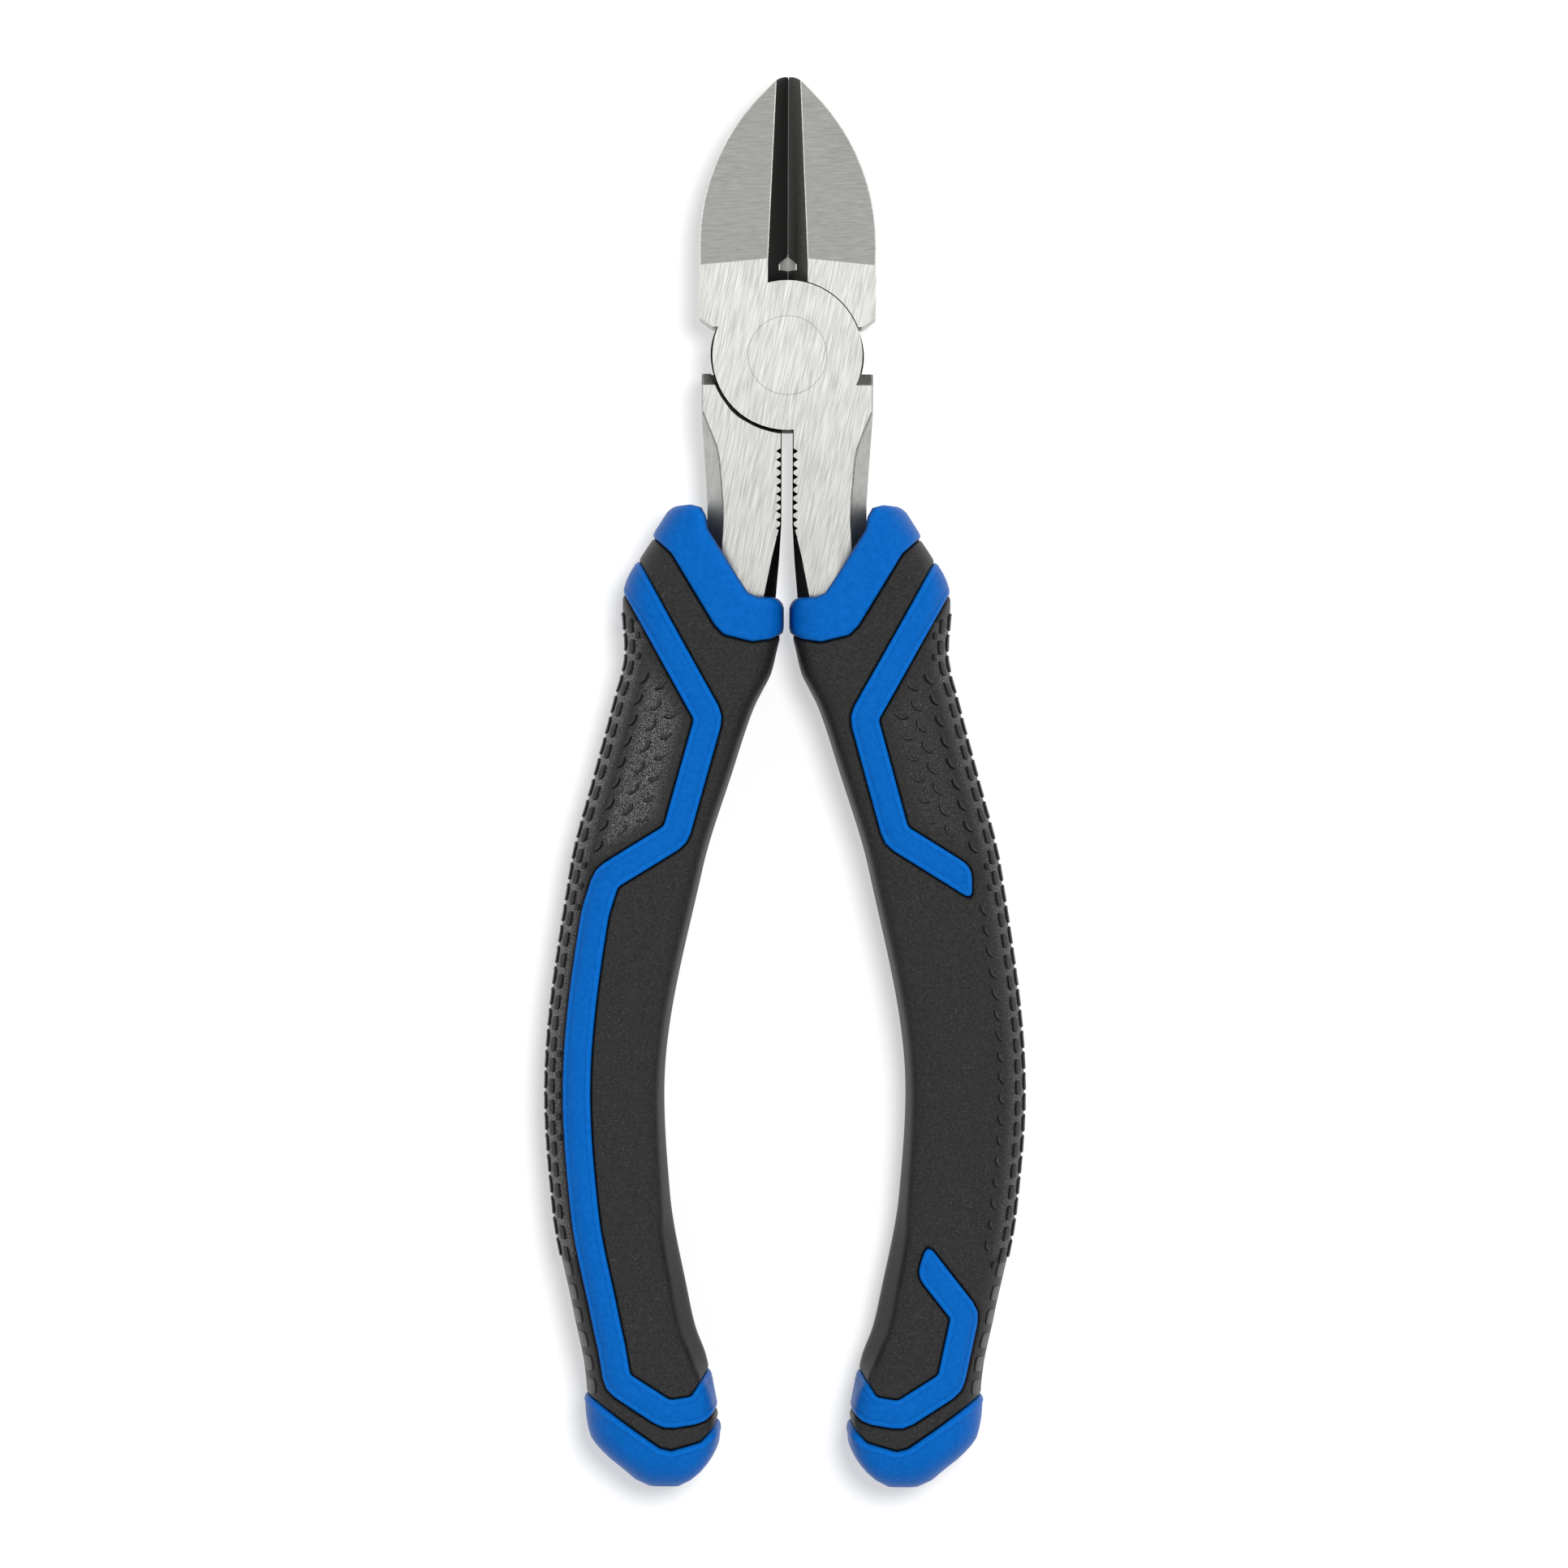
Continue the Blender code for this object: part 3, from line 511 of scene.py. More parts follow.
def line_points(side):
    """Points along the lines, as (scaled turn, below), and the edges that join them."""
    coords, edges = [], []
    for line in feature_lines(side):
        for stretch in trace(line):
            first = len(coords)
            coords += [(turn * TURN_SCALE, below) for turn, below in stretch]
            edges += [(k, k + 1) for k in range(first, len(coords) - 1)]
    return coords, edges


def rim_points(coords):
    """Points along both rims, clear of the lines that end there, and across the lower end."""
    crossings = np.array([c[1] for c in coords if c[0] in (0.0, math.pi * TURN_SCALE)])
    rims = [(turn * TURN_SCALE, below) for turn in (0.0, math.pi)
            for below in np.arange(MOUTH_LINE[0][1], GRIP_END, LATTICE)
            if np.min(np.abs(crossings - below)) > RIM_CLEARANCE]
    return rims + [(turn * TURN_SCALE, GRIP_END) for turn in np.linspace(0.0, math.pi, RIM_TURNS)]


def lattice_points(side):
    """An even lattice over the rest of the face, clear of the lines."""
    turns, places = np.meshgrid(
        np.arange(LATTICE / 2.0, math.pi * TURN_SCALE - TURN_MARGIN, LATTICE) / TURN_SCALE,
        np.arange(MOUTH_LINE[0][1] + END_MARGIN, GRIP_END - END_MARGIN, LATTICE))
    flat = np.stack([turns.ravel(), places.ravel()], axis=1)
    past = measure_at(flat, side)
    free = past["mouth"] > 0.0
    for name, profile in PROFILES.items():
        low, high = profile[0][0] - CLEAR_OF_LINES, profile[-1][0] + CLEAR_OF_LINES
        free &= ~((past[name] > low) & (past[name] < high))
    return list(zip(flat[free, 0] * TURN_SCALE, flat[free, 1]))


def skin_mesh(side):
    """Triangles over one face of a grip: vertices as (turn, below), faces, and the piece of each face."""
    coords, edges = line_points(side)
    coords += rim_points(coords) + lattice_points(side)
    made = delaunay_2d_cdt([Vector(c) for c in coords], edges, [], 0, SAME_POINT)
    flat = np.array([(v.x / TURN_SCALE, v.y) for v in made[0]])
    faces = np.array(made[2])
    past = measure_at(flat[faces].mean(axis=1), side)
    kinds = np.where(past["stripe"] > 0.0, "stripe", "cover")
    kinds = np.where(past["collar"] > 0.0, "collar", kinds)
    kinds = np.where(past["cap"] > 0.0, "end_cap", kinds)
    kept = past["mouth"] > 0.0
    return flat, faces[kept], kinds[kept]


def from_axis(flat):
    """Distance of places on the skin, given as rows of (turn, below), from the tool's axis."""
    return skin_base(flat[:, 0], flat[:, 1], 1.0)[:, 0]


def from_outer_edge(flat):
    return smooth(OUTER_EDGE, flat[:, 1]) - from_axis(flat)


def pebble_share(flat, past):
    """How far a place on the skin belongs to the pebbled zone, from 0 to 1."""
    below = flat[:, 1]
    inside_by = np.minimum.reduce([-past["stripe"] - PEBBLE_MARGIN, -past["collar"] - PEBBLE_MARGIN,
                                   from_outer_edge(flat) - PEBBLE_INSET, below - PEBBLE_ENDS[0],
                                   PEBBLE_ENDS[1] - below, outer_of_stripe(flat)])
    return np.clip(inside_by / PEBBLE_FADE, 0.0, 1.0)


def tread_share(flat):
    """The band along the outer edge that gets painted light and painted glints, from 1 to 0 towards the
    face.
    """
    below = flat[:, 1]
    on_rows = (below > TREAD_ROWS[0]) & (below < TREAD_ROWS[1])
    return np.where(on_rows, np.interp(from_outer_edge(flat), TREAD_BAND, (1.0, 0.0)), 0.0)


def flat_painted_shade(flat):
    """Painted shade on the flat along the inner side, which makes it darker than the face."""
    below = flat[:, 1]
    from_edge = from_axis(flat) - smooth(INNER_EDGE, below)
    share = np.clip((smooth(CREASE_INSET, below) - from_edge) / FLAT_FADE + 0.5, 0.0, 1.0)
    return FLAT_PAINTED_SHADE * share * np.interp(below, FLAT_END, (1.0, 0.0))


def outer_of_stripe(flat):
    """Distance from the stripe's upper run towards the outer edge, negative on the inner side."""
    x, below = np.array(STRIPE_TOP).T
    return from_axis(flat) - np.interp(flat[:, 1], below, x)


def fill_shells(shells, side):
    """Add one face of a grip to the shells of its pieces."""
    flat, faces, kinds = skin_mesh(side)
    past = measure_at(flat, side)
    height, tone = moulding(past)
    band, pebble = tread_share(flat), pebble_share(flat, past)
    # The tone gathers painted light: the profiles' painted shade and highlights, the tread band's painted
    # light and the inner flat's painted shade; the glints are painted highlights
    tone += TREAD_PAINTED_LIGHT * band + flat_painted_shade(flat)
    painted_glints = np.maximum(PEBBLE_PAINTED_GLINTS[side] * pebble, TREAD_PAINTED_GLINTS[side] * band)
    points = skin_point(flat[:, 0], flat[:, 1], side, height - PEBBLE_DEPTH * pebble) * MM
    for kind, bm in shells.items():
        painted_glint_layer, tone_layer = [bm.verts.layers.float[name] for name in SKIN_LAYERS]
        own = {}
        for face in faces[kinds == kind]:
            for k in face:
                if k not in own:
                    own[k] = bm.verts.new(points[k])
                    own[k][painted_glint_layer], own[k][tone_layer] = painted_glints[k], tone[k]
            corners = [own[k] for k in face]
            bm.faces.new(corners if side > 0.0 else corners[::-1])


def close_end(bm):
    """Fill the opening at the grip's lower end."""
    lowest = -(GRIP_END - END_RIM) * MM
    rim = [edge for edge in bm.edges if edge.is_boundary and all(v.co.y < lowest for v in edge.verts)]
    bmesh.ops.contextual_create(bm, geom=rim)


def mesh_from(bm, name):
    mesh = bpy.data.meshes.new(name)
    bm.to_mesh(mesh)
    bm.free()
    mesh.shade_smooth()
    return mesh


def grip_meshes():
    """Meshes of collar, cover, stripe and end cap, in the half's own frame, in metres."""
    shells = {kind: bmesh.new() for kind in ("collar", "cover", "stripe", "end_cap")}
    for bm in shells.values():
        for name in SKIN_LAYERS:
            bm.verts.layers.float.new(name)
    for side in (1.0, -1.0):
        fill_shells(shells, side)
    for bm in shells.values():
        bmesh.ops.remove_doubles(bm, verts=bm.verts, dist=SKIN_WELD)
    close_end(shells["end_cap"])
    return {kind: mesh_from(bm, "grip_" + kind) for kind, bm in shells.items()}


def skin_patch(turn, below, side, along, around, heights):
    """Skin points at offsets, in millimetres along the grip and round it, from one place."""
    radius = float(skin_radius(np.array(turn), np.array(below)))
    return skin_point(turn + np.asarray(around) / radius, below + np.asarray(along), side, heights) * MM


def add_rows(bm, rows, closed):
    """Join rows of points into faces; a closed row is a ring."""
    loops = [[bm.verts.new(point) for point in row] for row in rows]
    for first, second in zip(loops, loops[1:]):
        count = len(first) if closed else len(first) - 1
        for k in range(count):
            after = (k + 1) % len(first)
            bm.faces.new((first[k], first[after], second[after], second[k]))
    return loops


def paint(corners, index):
    """Give the faces that meet these corners another material."""
    for face in {face for corner in corners for face in corner.link_faces}:
        face.material_index = index


def add_pad(bm, turn, below, side, size, height):
    """A low block with rounded corners, its sides in painted shade."""
    angles = np.linspace(0.0, 2.0 * math.pi, PAD_POINTS + 1)[:-1]
    along = np.sign(np.cos(angles)) * np.abs(np.cos(angles)) ** PAD_CORNER * size[0] / 2.0
    around = np.sign(np.sin(angles)) * np.abs(np.sin(angles)) ** PAD_CORNER * size[1] / 2.0
    rows = []
    for inset, lift in [PAD_FOOT] + [(inset, share * height) for inset, share in PAD_PROFILE]:
        share = 1.0 - 2.0 * inset / min(size)
        rows.append(skin_patch(turn, below, side, along * share, around * share, lift))
    loops = add_rows(bm, rows, True)
    bm.faces.new(loops[-1])
    # The sides take material 1, which is painted shade
    paint(loops[0], 1)


def add_scale(bm, turn, below, side, heading, span):
    """A fish scale: it rises towards a curved lip, which drops off.  Its rise gets a painted highlight and
    the side below its lip painted shade.
    """
    angles = np.linspace(heading - span, heading + span, SCALE_POINTS)
    fade = np.clip(SCALE_FADE * (1.0 - np.abs(angles - heading) / span), 0.0, 1.0)
    hollow = PEBBLE_DEPTH * scale_depth(turn, below)
    rows = []
    for share, lift in SCALE_PROFILE:
        reach = SCALE_RADIUS * share
        rows.append(skin_patch(turn, below, side, reach * np.cos(angles), reach * np.sin(angles),
                               SCALE_HEIGHT * lift * fade - hollow - SCALE_SINK))
    loops = add_rows(bm, rows, False)
    # The side below the lip takes material 1, which is painted shade
    paint(loops[-1], 1)
    # Painted highlight on the scale's raised rows
    layer = bm.verts.layers.float["tone"]
    for corner in loops[1] + loops[2] + loops[3]:
        corner[layer] = SCALE_PAINTED_HIGHLIGHT


def scale_depth(turn, below):
    """How far the skin under a scale lies in the pebbled zone's hollow."""
    flat = np.array([[turn, below]])
    return pebble_share(flat, measure_at(flat, 1.0))[0]


def finish_mesh(bm, name):
    """A mesh with all its faces pointing out."""
    bmesh.ops.recalc_face_normals(bm, faces=bm.faces)
    return mesh_from(bm, name)


def add_tread_row(bm, row):
    """One bar across the outer edge, with the blocks and scales beside it on both faces."""
    add_pad(bm, 0.0, row, 1.0, BAR_SIZE, TREAD_HEIGHT)
    for side in (1.0, -1.0):
        block = row + BLOCK_SHIFT * TREAD_PITCH
        add_pad(bm, turn_from_edge(BLOCK_INSET, block), block, side, BLOCK_SIZE, TREAD_HEIGHT)
        for column, (inset, shift, heading, span, lowest) in enumerate(SCALE_COLUMNS):
            place = row + shift * TREAD_PITCH
            if place < lowest and room_at(inset, place, side) > SCALE_CLEARANCE:
                add_scale(bm, turn_from_edge(inset, place), place, side, heading, span)
            elif column == 0 and room_at(STUD_INSET, place, side) > STUD_CLEARANCE:
                add_pad(bm, turn_from_edge(STUD_INSET, place), place, side, STUD_SIZE, TREAD_HEIGHT)


def tread_meshes():
    """The bars, blocks and scales that stand on the cover, and the smooth pads below them."""
    tread, low = bmesh.new(), bmesh.new()
    tread.verts.layers.float.new("tone")
    for row in np.arange(*TREAD_ROWS, TREAD_PITCH):
        add_tread_row(tread, row)
    for below in np.arange(*LOW_PAD_ROWS, LOW_PAD_PITCH):
        for side in (1.0, -1.0):
            add_pad(low, LOW_PAD_TURN, below, side, LOW_PAD_SIZE, LOW_PAD_HEIGHT)
    return {"tread": finish_mesh(tread, "grip_tread"), "low_pads": finish_mesh(low, "grip_low_pads")}


def room_at(inset, below, side):
    """Distance from a place beside the outer edge to the nearest blue line; negative beyond the stripe."""
    flat = np.array([[turn_from_edge(inset, below), below]])
    past = measure_at(flat, side)
    if below < STRIPE_TOP[-1][1] and outer_of_stripe(flat)[0] < 0.0:
        return -1.0
    return -max(past["stripe"][0], past["collar"][0])


def turn_from_edge(inset, below):
    """The turn at an inset from the outer edge, seen from the front."""
    return float(turn_at(smooth(OUTER_EDGE, np.array([below])) - inset, np.array([below]))[0])


# Materials

# Gloss of the soft black; it has less where the tone paints shade, on the lines and the inner flat
SOFT_GLOSS = 0.28


def node_material(name):
    made = bpy.data.materials.new(name)
    made.use_nodes = True
    tree = made.node_tree
    return made, tree, tree.nodes["Principled BSDF"]


def add(tree, kind, **settings):
    node = tree.nodes.new(kind)
    for key, value in settings.items():
        setattr(node, key, value)
    return node


def noise(tree, cells, detail, turn=0.0):
    """Noise in the piece's own coordinates, turned and stretched; cells are in millimetres."""
    coords = add(tree, "ShaderNodeTexCoord")
    mapping = add(tree, "ShaderNodeMapping", vector_type="TEXTURE")
    mapping.inputs["Rotation"].default_value = (0.0, 0.0, turn)
    mapping.inputs["Scale"].default_value = [size * MM for size in cells]
    tree.links.new(coords.outputs["Object"], mapping.inputs["Vector"])
    made = add(tree, "ShaderNodeTexNoise")
    made.inputs["Scale"].default_value = 1.0
    made.inputs["Detail"].default_value = detail
    tree.links.new(mapping.outputs["Vector"], made.inputs["Vector"])
    return made.outputs["Fac"]


def ramp(tree, value, low, high, dark, light):
    """Turn a value between low and high into a colour between dark and light."""
    made = add(tree, "ShaderNodeValToRGB")
    made.color_ramp.elements[0].position = low
    made.color_ramp.elements[1].position = high
    made.color_ramp.elements[0].color = (*dark, 1.0)
    made.color_ramp.elements[1].color = (*light, 1.0)
    tree.links.new(value, made.inputs["Fac"])
    return made.outputs["Color"]


def bump(tree, shader, height, strength, depth):
    made = add(tree, "ShaderNodeBump")
    made.inputs["Strength"].default_value = strength
    made.inputs["Distance"].default_value = depth
    tree.links.new(height, made.inputs["Height"])
    tree.links.new(made.outputs["Normal"], shader.inputs["Normal"])


def grey(value):
    """A grey that is very slightly warm."""
    return (value, value, value * 0.985)


def attribute(tree, name):
    """What the mesh's vertices say under this name."""
    return add(tree, "ShaderNodeAttribute", attribute_name=name).outputs["Fac"]


def map_range(tree, value, source, target):
    """Carry a value from one span to another."""
    made = add(tree, "ShaderNodeMapRange")
    for name, number in zip(("From Min", "From Max", "To Min", "To Max"), (*source, *target)):
        made.inputs[name].default_value = number
    tree.links.new(value, made.inputs["Value"])
    return made.outputs["Result"]


def combine(tree, blend, first, second):
    """Two colours added or multiplied."""
    made = add(tree, "ShaderNodeMix", data_type="RGBA", blend_type=blend)
    made.inputs["Factor"].default_value = 1.0
    tree.links.new(first, made.inputs["A"])
    tree.links.new(second, made.inputs["B"])
    return made.outputs["Result"]


def multiply(tree, first, second):
    return combine(tree, "MULTIPLY", first, second)


def shade_along(tree, axis, stops):
    """A grey that changes along X or Y of the piece; stops are (place in millimetres, level)."""
    coords = add(tree, "ShaderNodeTexCoord")
    split = add(tree, "ShaderNodeSeparateXYZ")
    tree.links.new(coords.outputs["Object"], split.inputs["Vector"])
    low, high = stops[0][0] * MM, stops[-1][0] * MM
    share = map_range(tree, split.outputs[axis], (low, high), (0.0, 1.0))
    made = add(tree, "ShaderNodeValToRGB")
    elements = made.color_ramp.elements
    elements[0].color = (*grey(stops[0][1]), 1.0)
    elements[1].color = (*grey(stops[-1][1]), 1.0)
    for place, level in stops[1:-1]:
        elements.new((place * MM - low) / (high - low)).color = (*grey(level), 1.0)
    tree.links.new(share, made.inputs["Fac"])
    return made.outputs["Color"]


def toned(tree, colour, depth):
    """Darken or lighten a colour by the tone that the mesh carries: painted shade and painted highlights."""
    level = map_range(tree, attribute(tree, "tone"), (-1.0, 1.0), (1.0 - depth, 1.0 + depth))
    return multiply(tree, colour, level)


def steel(name, tones, fine, cells, turn, roughness, shade):
    """Ground steel: streaks and finer scratches of one direction, and a shade along the piece."""
    made, tree, shader = node_material(name)
    streaks = noise(tree, cells, 3.0, turn)
    # The scratches are finer than the streaks and lean a little more
    scratches = noise(tree, [size * 0.55 for size in cells], 2.0, turn * 1.15)
    tone = ramp(tree, streaks, 0.32, 0.68, grey(tones[0]), grey(tones[1]))
    lines = ramp(tree, scratches, 0.36, 0.60, grey(fine), grey(1.0))
    colour = multiply(tree, multiply(tree, tone, lines), shade_along(tree, *shade))
    tree.links.new(colour, shader.inputs["Base Color"])
    bump(tree, shader, scratches, 0.2, 0.01 * MM)
    shader.inputs["Metallic"].default_value = 1.0
    shader.inputs["Roughness"].default_value = roughness
    return made


def moulded(name, dark, light, grain, roughness, gloss):
    """Moulded plastic with a fine grain."""
    made, tree, shader = node_material(name)
    speckle = noise(tree, (grain, grain, grain), 4.0)
    colour = toned(tree, ramp(tree, speckle, 0.3, 0.7, dark, light), 0.45)
    tree.links.new(colour, shader.inputs["Base Color"])
    bump(tree, shader, speckle, 0.4, 0.01 * MM)
    shader.inputs["Roughness"].default_value = roughness
    shader.inputs["Specular IOR Level"].default_value = gloss
    return made


def black_oxide():
    """The dark cutting bevels, ten times darker behind the jaws, towards the handles; the right one is
    painted lighter than the left one, as painted light.
    """
    made, tree, shader = node_material("black_oxide")
    speckle = noise(tree, (0.4, 0.4, 0.4), 3.0)
    tone = ramp(tree, speckle, 0.3, 0.7, grey(0.75), grey(1.0))
    # Painted light: the bevel on the right is lighter than the one on the left
    sides = shade_along(tree, "X", [(-1.0, 0.028), (-0.1, 0.028), (0.1, 0.14), (1.0, 0.14)])
    jaws = shade_along(tree, "Y", [(-20.0, 0.1), (8.0, 0.1), (10.0, 1.0), (30.0, 1.0)])
    tree.links.new(multiply(tree, multiply(tree, tone, sides), jaws), shader.inputs["Base Color"])
    bump(tree, shader, speckle, 0.3, 0.015 * MM)
    shader.inputs["Roughness"].default_value = 0.5
    shader.inputs["Specular IOR Level"].default_value = 0.12
    return made


def soft_black():
    """Leathery black with light specks and painted glints where the mesh says so; its tone lays painted
    shade and highlights on it, and it is duller where the tone paints shade.
    """
    made, tree, shader = node_material("soft_black")
    grain = noise(tree, (0.30, 0.30, 0.30), 5.0)
    specks = noise(tree, (0.13, 0.13, 0.13), 1.0)
    plain = ramp(tree, grain, 0.32, 0.72, grey(0.007), grey(0.024))
    # Painted glints: bright specks laid into the colour where the mesh asks for them
    painted_glints = ramp(tree, specks, 0.46, 0.78, grey(0.016), grey(0.27))
    dots = ramp(tree, specks, 0.66, 0.78, grey(0.0), grey(0.10))
    colour = add(tree, "ShaderNodeMix", data_type="RGBA")
    tree.links.new(attribute(tree, "pebble"), colour.inputs["Factor"])
    tree.links.new(combine(tree, "ADD", plain, dots), colour.inputs["A"])
    tree.links.new(painted_glints, colour.inputs["B"])
    tree.links.new(toned(tree, colour.outputs["Result"], 0.8), shader.inputs["Base Color"])
    bump(tree, shader, grain, 0.5, 0.03 * MM)
    shader.inputs["Roughness"].default_value = 0.5
    gloss = map_range(tree, attribute(tree, "tone"), (-1.0, 0.0), (0.0, SOFT_GLOSS))
    # Where a linked level is dropped, the socket's own one stays
    shader.inputs["Specular IOR Level"].default_value = SOFT_GLOSS
    tree.links.new(gloss, shader.inputs["Specular IOR Level"])
    return made


def finishes():
    """Every material, by a short name."""
    lean = math.radians(-11.0)
    even = ("Y", [(-40.0, 1.0), (40.0, 1.0)])
    return {
        "face": steel("joint_steel", (0.70, 1.0), 0.74, (0.17, 5.0, 5.0), lean, 0.34,
                      ("Y", [(-30.0, 0.84), (-14.0, 0.90), (0.0, 1.0), (14.0, 1.0)])),
        "jaw": steel("jaw_steel", (0.38, 0.46), 0.84, (2.4, 0.17, 2.4), 0.0, 0.42, even),
        # The forged sides get painted shade towards the collars
        "forged": steel("forged_steel", (0.44, 0.50), 0.9, (0.6, 2.0, 2.0), lean, 0.45,
                        ("Y", [(-24.0, 0.9), (-20.5, 1.0)])),
        # The shoulders lie deeper, in shade: their steel is a darker copy, painted shade
        "shoulder": steel("shoulder_steel", (0.12, 0.24), 0.8, (0.7, 0.7, 0.7), 0.0, 0.5, even),
        "oxide": black_oxide(),
        # Painted highlight: bright steel for the flats along the edges
        "edge": steel("painted_edge_highlight", (0.70, 1.0), 0.75, (0.25, 0.25, 0.8), lean, 0.3, even),
        "blue": moulded("blue_plastic", (0.0005, 0.107, 0.44), (0.003, 0.131, 0.505), 0.55, 0.42, 0.10),
        "black": soft_black(),
        # Painted shade: a near-black for the steep sides of blocks and pads and below the scales' lips
        "painted_shade_sides": moulded("tread_painted_shade_sides", grey(0.006), grey(0.010), 0.5, 0.7, 0.05),
        "gloss": moulded("smooth_black", grey(0.022), grey(0.032), 1.6, 0.3, 0.4),
        "core": moulded("core_plastic", grey(0.07), grey(0.10), 1.1, 0.6, 0.3),
    }


# Steel

def steel_kind(centre, normal):
    """Which finish a lever's face has, in its own frame: jaw at -X, handle at +X, Z from the middle."""
    x, y, z = (value / MM for value in centre)
    flat = abs(normal.z)
    if flat > LEVEL and abs(z) > FACE_LEVEL:
        return "face"
    if y > JAW_START:
        if flat > NEARLY_LEVEL:
            return "jaw"
        if normal.x > FACING or (x > CUT_SIDE and normal.x > -FACING):
            return "oxide"
        return "forged"
    low, high = SHOULDER_ENDS
    if TOOTHED_END < y < low and x < TOOTHED_SIDE and normal.x < FACING:
        return "oxide"
    if y < low or y > high:
        return "forged"
    return "shoulder"


def own_frame(turned_over):
    """From the part's frame to the half's own frame."""
    turn = Matrix.Rotation(math.pi if turned_over else 0.0, 4, "Y")
    return turn @ Matrix.Translation((0.0, 0.0, -MID))


def edge_break(edge, to_half):
    """Width and finish of the small flat on a lever's edge, or nothing where the edge stays sharp."""
    if not edge.is_manifold or edge.calc_face_angle() < SHARP_EDGE:
        return None
    kinds = {STEEL_KINDS[face.material_index] for face in edge.link_faces}
    middle = to_half @ ((edge.verts[0].co + edge.verts[1].co) / 2.0)
    at_teeth = middle.y < TEETH_START and middle.x < TEETH_SIDE
    if at_teeth and kinds == {"face", "oxide"}:
        return TOOTH_LINE, "oxide"
    if at_teeth or "edge" in kinds or kinds == {"oxide"}:
        return None
    if kinds == {"jaw", "forged"}:
        return JAW_RIM, "edge"
    if kinds == {"jaw", "oxide"}:
        return BEVEL_LINE, "edge"
    if kinds == {"face", "forged"} and middle.y < NECK_START:
        return NECK_LINE, "shoulder"
    return EDGE_BREAK, "edge"


def add_box(bm, to_half, sides, ends, half, finish):
    """A small box across the middle plane, given in the half's own frame."""
    size = Matrix.Diagonal((sides[1] - sides[0], ends[1] - ends[0], 2.0 * half, 1.0))
    place = to_half.inverted() @ Matrix.Translation((sum(sides) / 2.0, sum(ends) / 2.0, 0.0))
    box = bmesh.ops.create_cube(bm, size=1.0, matrix=place @ size)
    paint(box["verts"], STEEL_KINDS.index(finish))


def add_cutting_edge(bm, to_half, turned_over):
    """A grey sheet in the jaw's half of the wire notch, painted shade for the shaded floor seen through it.
    The front jaw also closes the gap between the edges.
    """
    left, right = EDGE_STRIP
    reach = NOTCH_SHADE_SHEET[1] if turned_over else right
    add_box(bm, to_half, (NOTCH_SHADE_SHEET[0], reach), NOTCH_ENDS, NOTCH_HALF, "forged")
    if not turned_over:
        for ends in CUTTING_EDGES:
            add_box(bm, to_half, EDGE_STRIP, ends, (right - left) / 2.0, "oxide")


def add_shade_crescent(bm, to_half):
    """A dark crescent along the joint disc, painted shade where the lower disc's rim lies in shade.
    It reaches a little further on the jaw's side.
    """
    to_part = to_half.inverted()
    low, high = CRESCENT_LEVELS
    first, last = CRESCENT_SPAN
    inner = DISC_RADIUS - CRESCENT_WIDTH
    rows = []
    for share in np.linspace(0.0, 1.0, CRESCENT_POINTS):
        angle = first + share * (last - first)
        outer = DISC_RADIUS + CRESCENT_WIDTH * math.sin(math.pi * share)
        corners = ((inner, low), (inner, high), (outer, high), (outer, low))
        rows.append([to_part @ Vector((-radius * math.cos(angle), radius * math.sin(angle), level))
                     for radius, level in corners])
    for row in add_rows(bm, rows, True):
        paint(row, STEEL_KINDS.index("oxide"))


def lever_mesh(name, turned_over):
    """A lever's mesh from its CAD node, with a finish for each face and small flats on its edges."""
    bm = bmesh.new()
    bm.from_mesh(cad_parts[name].data)
    bmesh.ops.remove_doubles(bm, verts=bm.verts, dist=STEEL_WELD)
    bmesh.ops.dissolve_limit(bm, angle_limit=SAME_PLANE, verts=bm.verts, edges=bm.edges)
    to_half = own_frame(turned_over)
    for face in bm.faces:
        kind = steel_kind(to_half @ face.calc_center_median(), to_half.to_3x3() @ face.normal)
        face.material_index = STEEL_KINDS.index(kind)
    for width, finish, steps in EDGE_FLATS:
        chosen = [edge for edge in bm.edges if edge_break(edge, to_half) == (width, finish)]
        bmesh.ops.bevel(bm, geom=chosen, offset=width, offset_type="OFFSET", segments=steps, profile=0.5,
                        affect="EDGES", clamp_overlap=True, material=STEEL_KINDS.index(finish))
    add_cutting_edge(bm, to_half, turned_over)
    add_shade_crescent(bm, to_half)
    return mesh_from(bm, name + "_steel")


def add_lever(name, body, turned_over, looks):
    mesh = lever_mesh(name, turned_over)
    for kind in STEEL_KINDS:
        mesh.materials.append(looks[kind])
    mesh.set_sharp_from_angle(angle=LEVER_CREASE)
    piece = show(name + "_steel", mesh, Matrix.Identity(4), body)
    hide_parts(name)


def show(name, mesh, place, body):
    """Put a mesh in the scene, riding on one of the part's bodies."""
    piece = bpy.data.objects.new(name, mesh)
    bpy.context.scene.collection.objects.link(piece)
    piece.matrix_world = place
    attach(piece, body)
    return piece


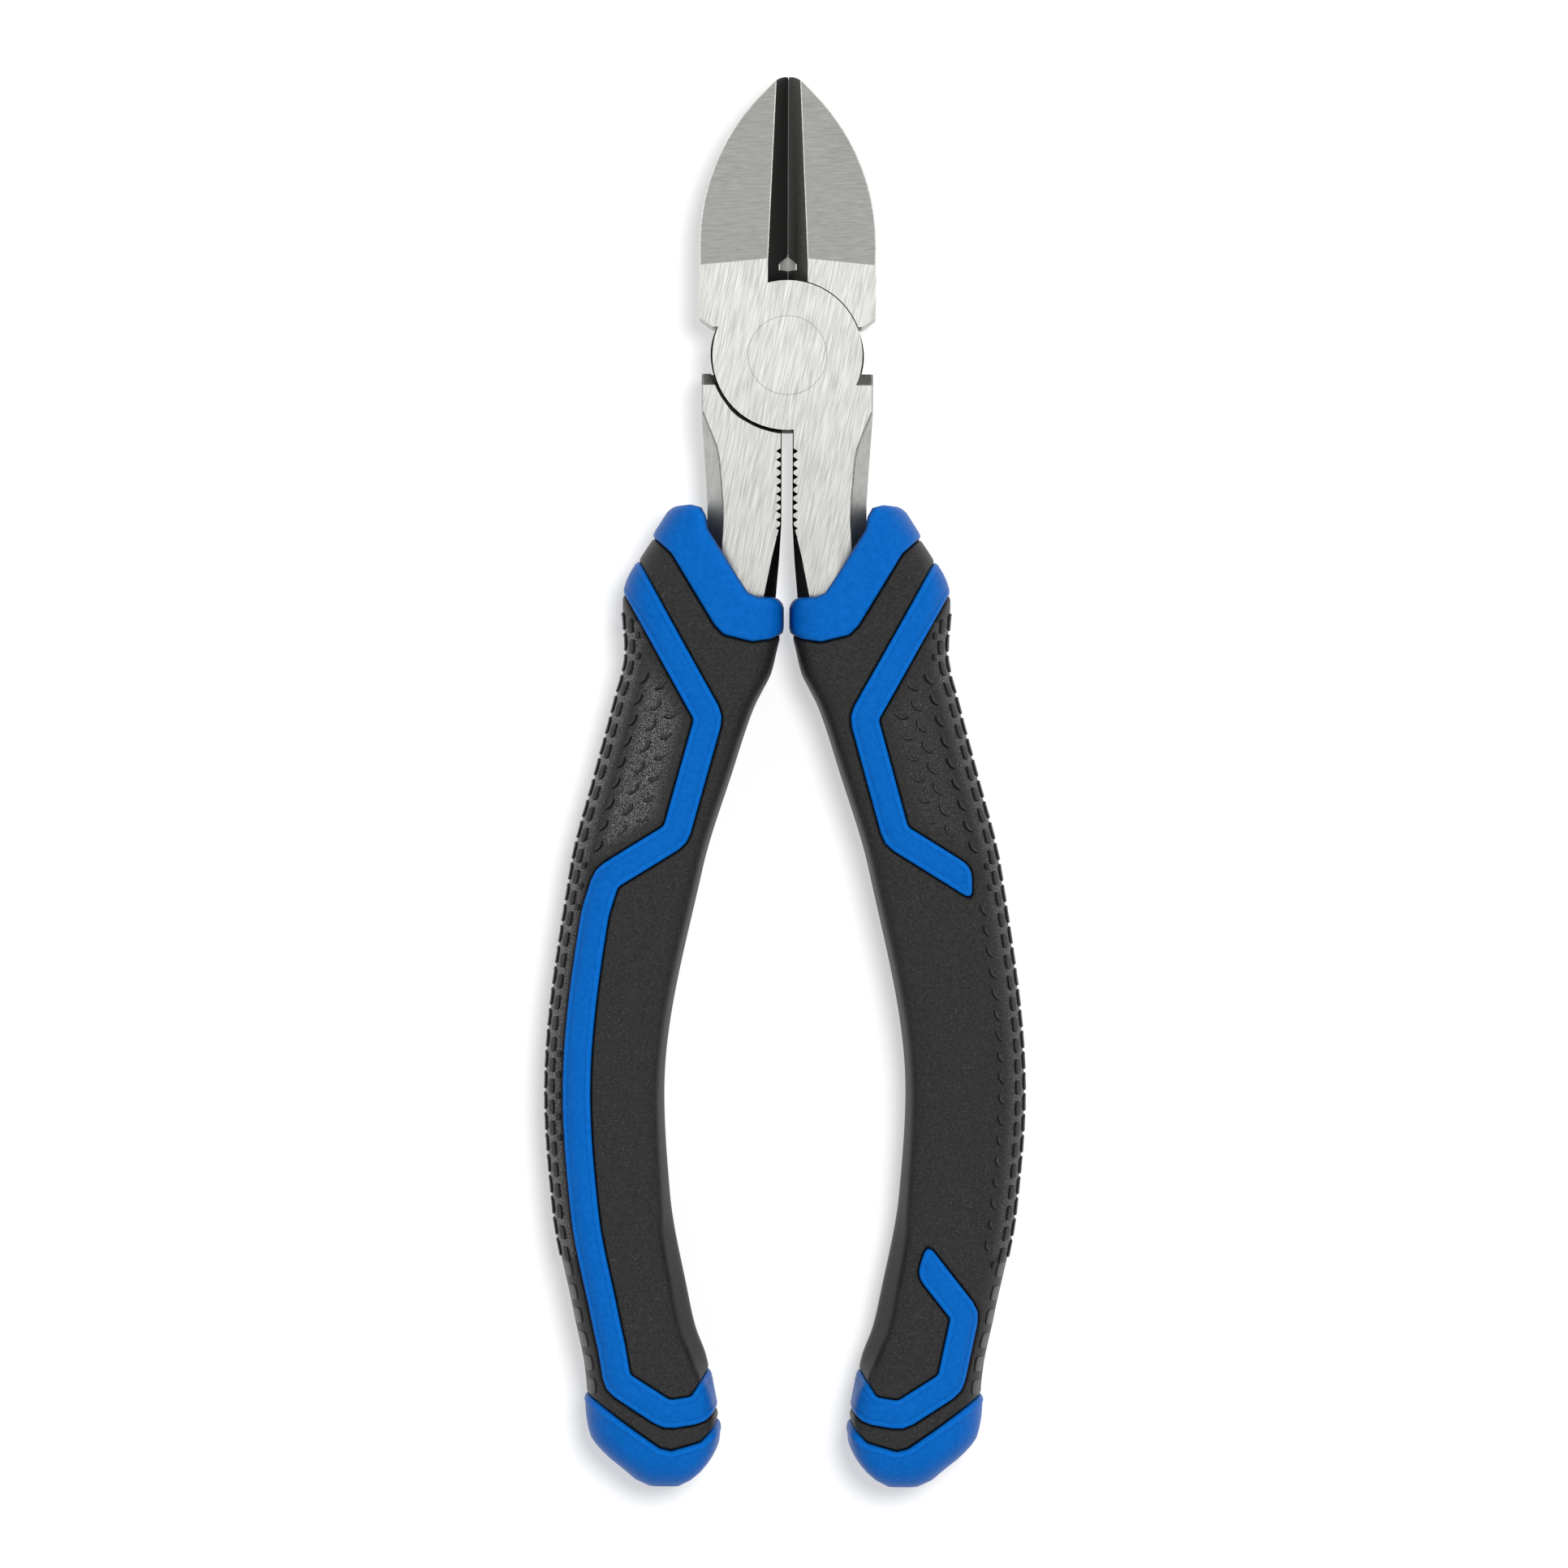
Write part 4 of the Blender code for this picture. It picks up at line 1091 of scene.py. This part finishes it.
def add_grip(prefix, body, turned_over, meshes, pads, looks):
    """One grip's pieces; both grips share their meshes, so each mesh gets its materials once."""
    place = own_frame(turned_over).inverted()
    for kind, mesh in meshes.items():
        finish, slot = ("black", "soft_black") if kind == "cover" else ("blue", "blue_plastic")
        node = prefix + "_grip_" + kind
        piece = show(node + "_skin", mesh, place, body)
        if not mesh.materials:
            mesh.materials.append(looks[finish])
        wall = piece.modifiers.new("wall", "SOLIDIFY")
        wall.thickness = SHELL * MM
        wall.offset = -1.0
        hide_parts(node)
    for kind, mesh in pads.items():
        piece = show(prefix + "_grip_" + kind, mesh, place, body)
        if not mesh.materials:
            mesh.materials.append(looks["black" if kind == "tread" else "gloss"])
            mesh.materials.append(looks["painted_shade_sides"])
    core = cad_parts[prefix + "_grip_core"]
    core.data.materials.clear()
    core.data.materials.append(looks["core"])


def add_rivet(looks):
    """The rivet, with heads that leave only a hairline round them."""
    low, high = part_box("pivot_rivet")
    bm = bmesh.new()
    bmesh.ops.create_cone(bm, cap_ends=True, segments=RIVET_SIDES, radius1=RIVET_RADIUS,
                          radius2=RIVET_RADIUS, depth=high.z - low.z,
                          matrix=Matrix.Translation((0.0, 0.0, MID)))
    mesh = finish_mesh(bm, "rivet")
    mesh.set_sharp_from_angle(angle=RIVET_CREASE)
    mesh.materials.append(looks["face"])
    piece = show("pivot_rivet_steel", mesh, Matrix.Identity(4), "front_half")
    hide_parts("pivot_rivet")


# Stage

def floor_paper():
    """White paper that keeps a soft shadow: part lit, part glowing."""
    made, tree, shader = node_material("floor_paper")
    shader.inputs["Base Color"].default_value = FLOOR_COLOUR
    shader.inputs["Roughness"].default_value = FLOOR_ROUGHNESS
    shader.inputs["Specular IOR Level"].default_value = 0.0
    glow = add(tree, "ShaderNodeEmission")
    glow.inputs["Color"].default_value = WHITE
    glow.inputs["Strength"].default_value = GLOW_STRENGTH
    mix = add(tree, "ShaderNodeMixShader")
    mix.inputs["Fac"].default_value = GLOW_SHARE
    tree.links.new(shader.outputs["BSDF"], mix.inputs[1])
    tree.links.new(glow.outputs["Emission"], mix.inputs[2])
    tree.links.new(mix.outputs["Shader"], tree.nodes["Material Output"].inputs["Surface"])
    return made


def add_floor():
    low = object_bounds()[0]
    mesh = bpy.data.meshes.new("floor")
    half = FLOOR_HALF
    mesh.from_pydata([(-half, -half, 0.0), (half, -half, 0.0), (half, half, 0.0), (-half, half, 0.0)], [],
                     [(0, 1, 2, 3)])
    mesh.materials.append(floor_paper())
    floor = bpy.data.objects.new("floor", mesh)
    floor.location = (0.0, 0.0, low[2] - FLOOR_DROP)
    bpy.context.scene.collection.objects.link(floor)


def add_world():
    """White to the camera and in reflections, softer as a light."""
    world = bpy.data.worlds.new("studio")
    world.use_nodes = True
    tree = world.node_tree
    background = tree.nodes["Background"]
    path = add(tree, "ShaderNodeLightPath")
    seen = add(tree, "ShaderNodeMath", operation="MAXIMUM")
    tree.links.new(path.outputs["Is Camera Ray"], seen.inputs[0])
    tree.links.new(path.outputs["Is Glossy Ray"], seen.inputs[1])
    level = map_range(tree, seen.outputs[0], (0.0, 1.0), (WORLD_LIGHT, 1.0))
    background.inputs["Color"].default_value = WHITE
    tree.links.new(level, background.inputs["Strength"])
    bpy.context.scene.world = world


def add_key_lamp():
    """A soft lamp above the tool, left out of reflections."""
    light = bpy.data.lights.new("key", "AREA")
    light.shape = "DISK"
    light.size = KEY_SIZE
    light.energy = KEY_POWER
    lamp = bpy.data.objects.new("key", light)
    lamp.location = KEY_PLACE
    aim = Vector(KEY_AIM) - Vector(KEY_PLACE)
    lamp.rotation_euler = aim.to_track_quat("-Z", "Y").to_euler()
    lamp.visible_glossy = False
    bpy.context.scene.collection.objects.link(lamp)


def add_camera():
    data = bpy.data.cameras.new("camera")
    data.sensor_width = SENSOR
    data.lens = SENSOR * CAMERA_HEIGHT / PHOTO_FRAME
    data.clip_start, data.clip_end = CAMERA_CLIP
    camera = bpy.data.objects.new("camera", data)
    camera.location = CAMERA_PLACE
    camera.rotation_euler = Euler((0.0, 0.0, PHOTO_LEAN))
    bpy.context.scene.collection.objects.link(camera)
    bpy.context.scene.camera = camera


looks = finishes()
meshes = grip_meshes()
pads = tread_meshes()
for lever, side, body, turned_over in (("front_lever", "right", "front_half", False),
                                       ("rear_lever", "left", "rear_half", True)):
    add_lever(lever, body, turned_over, looks)
    add_grip(side, body, turned_over, meshes, pads, looks)
add_rivet(looks)
add_floor()
add_world()
add_key_lamp()
add_camera()
bpy.context.scene.view_settings.view_transform = "Standard"
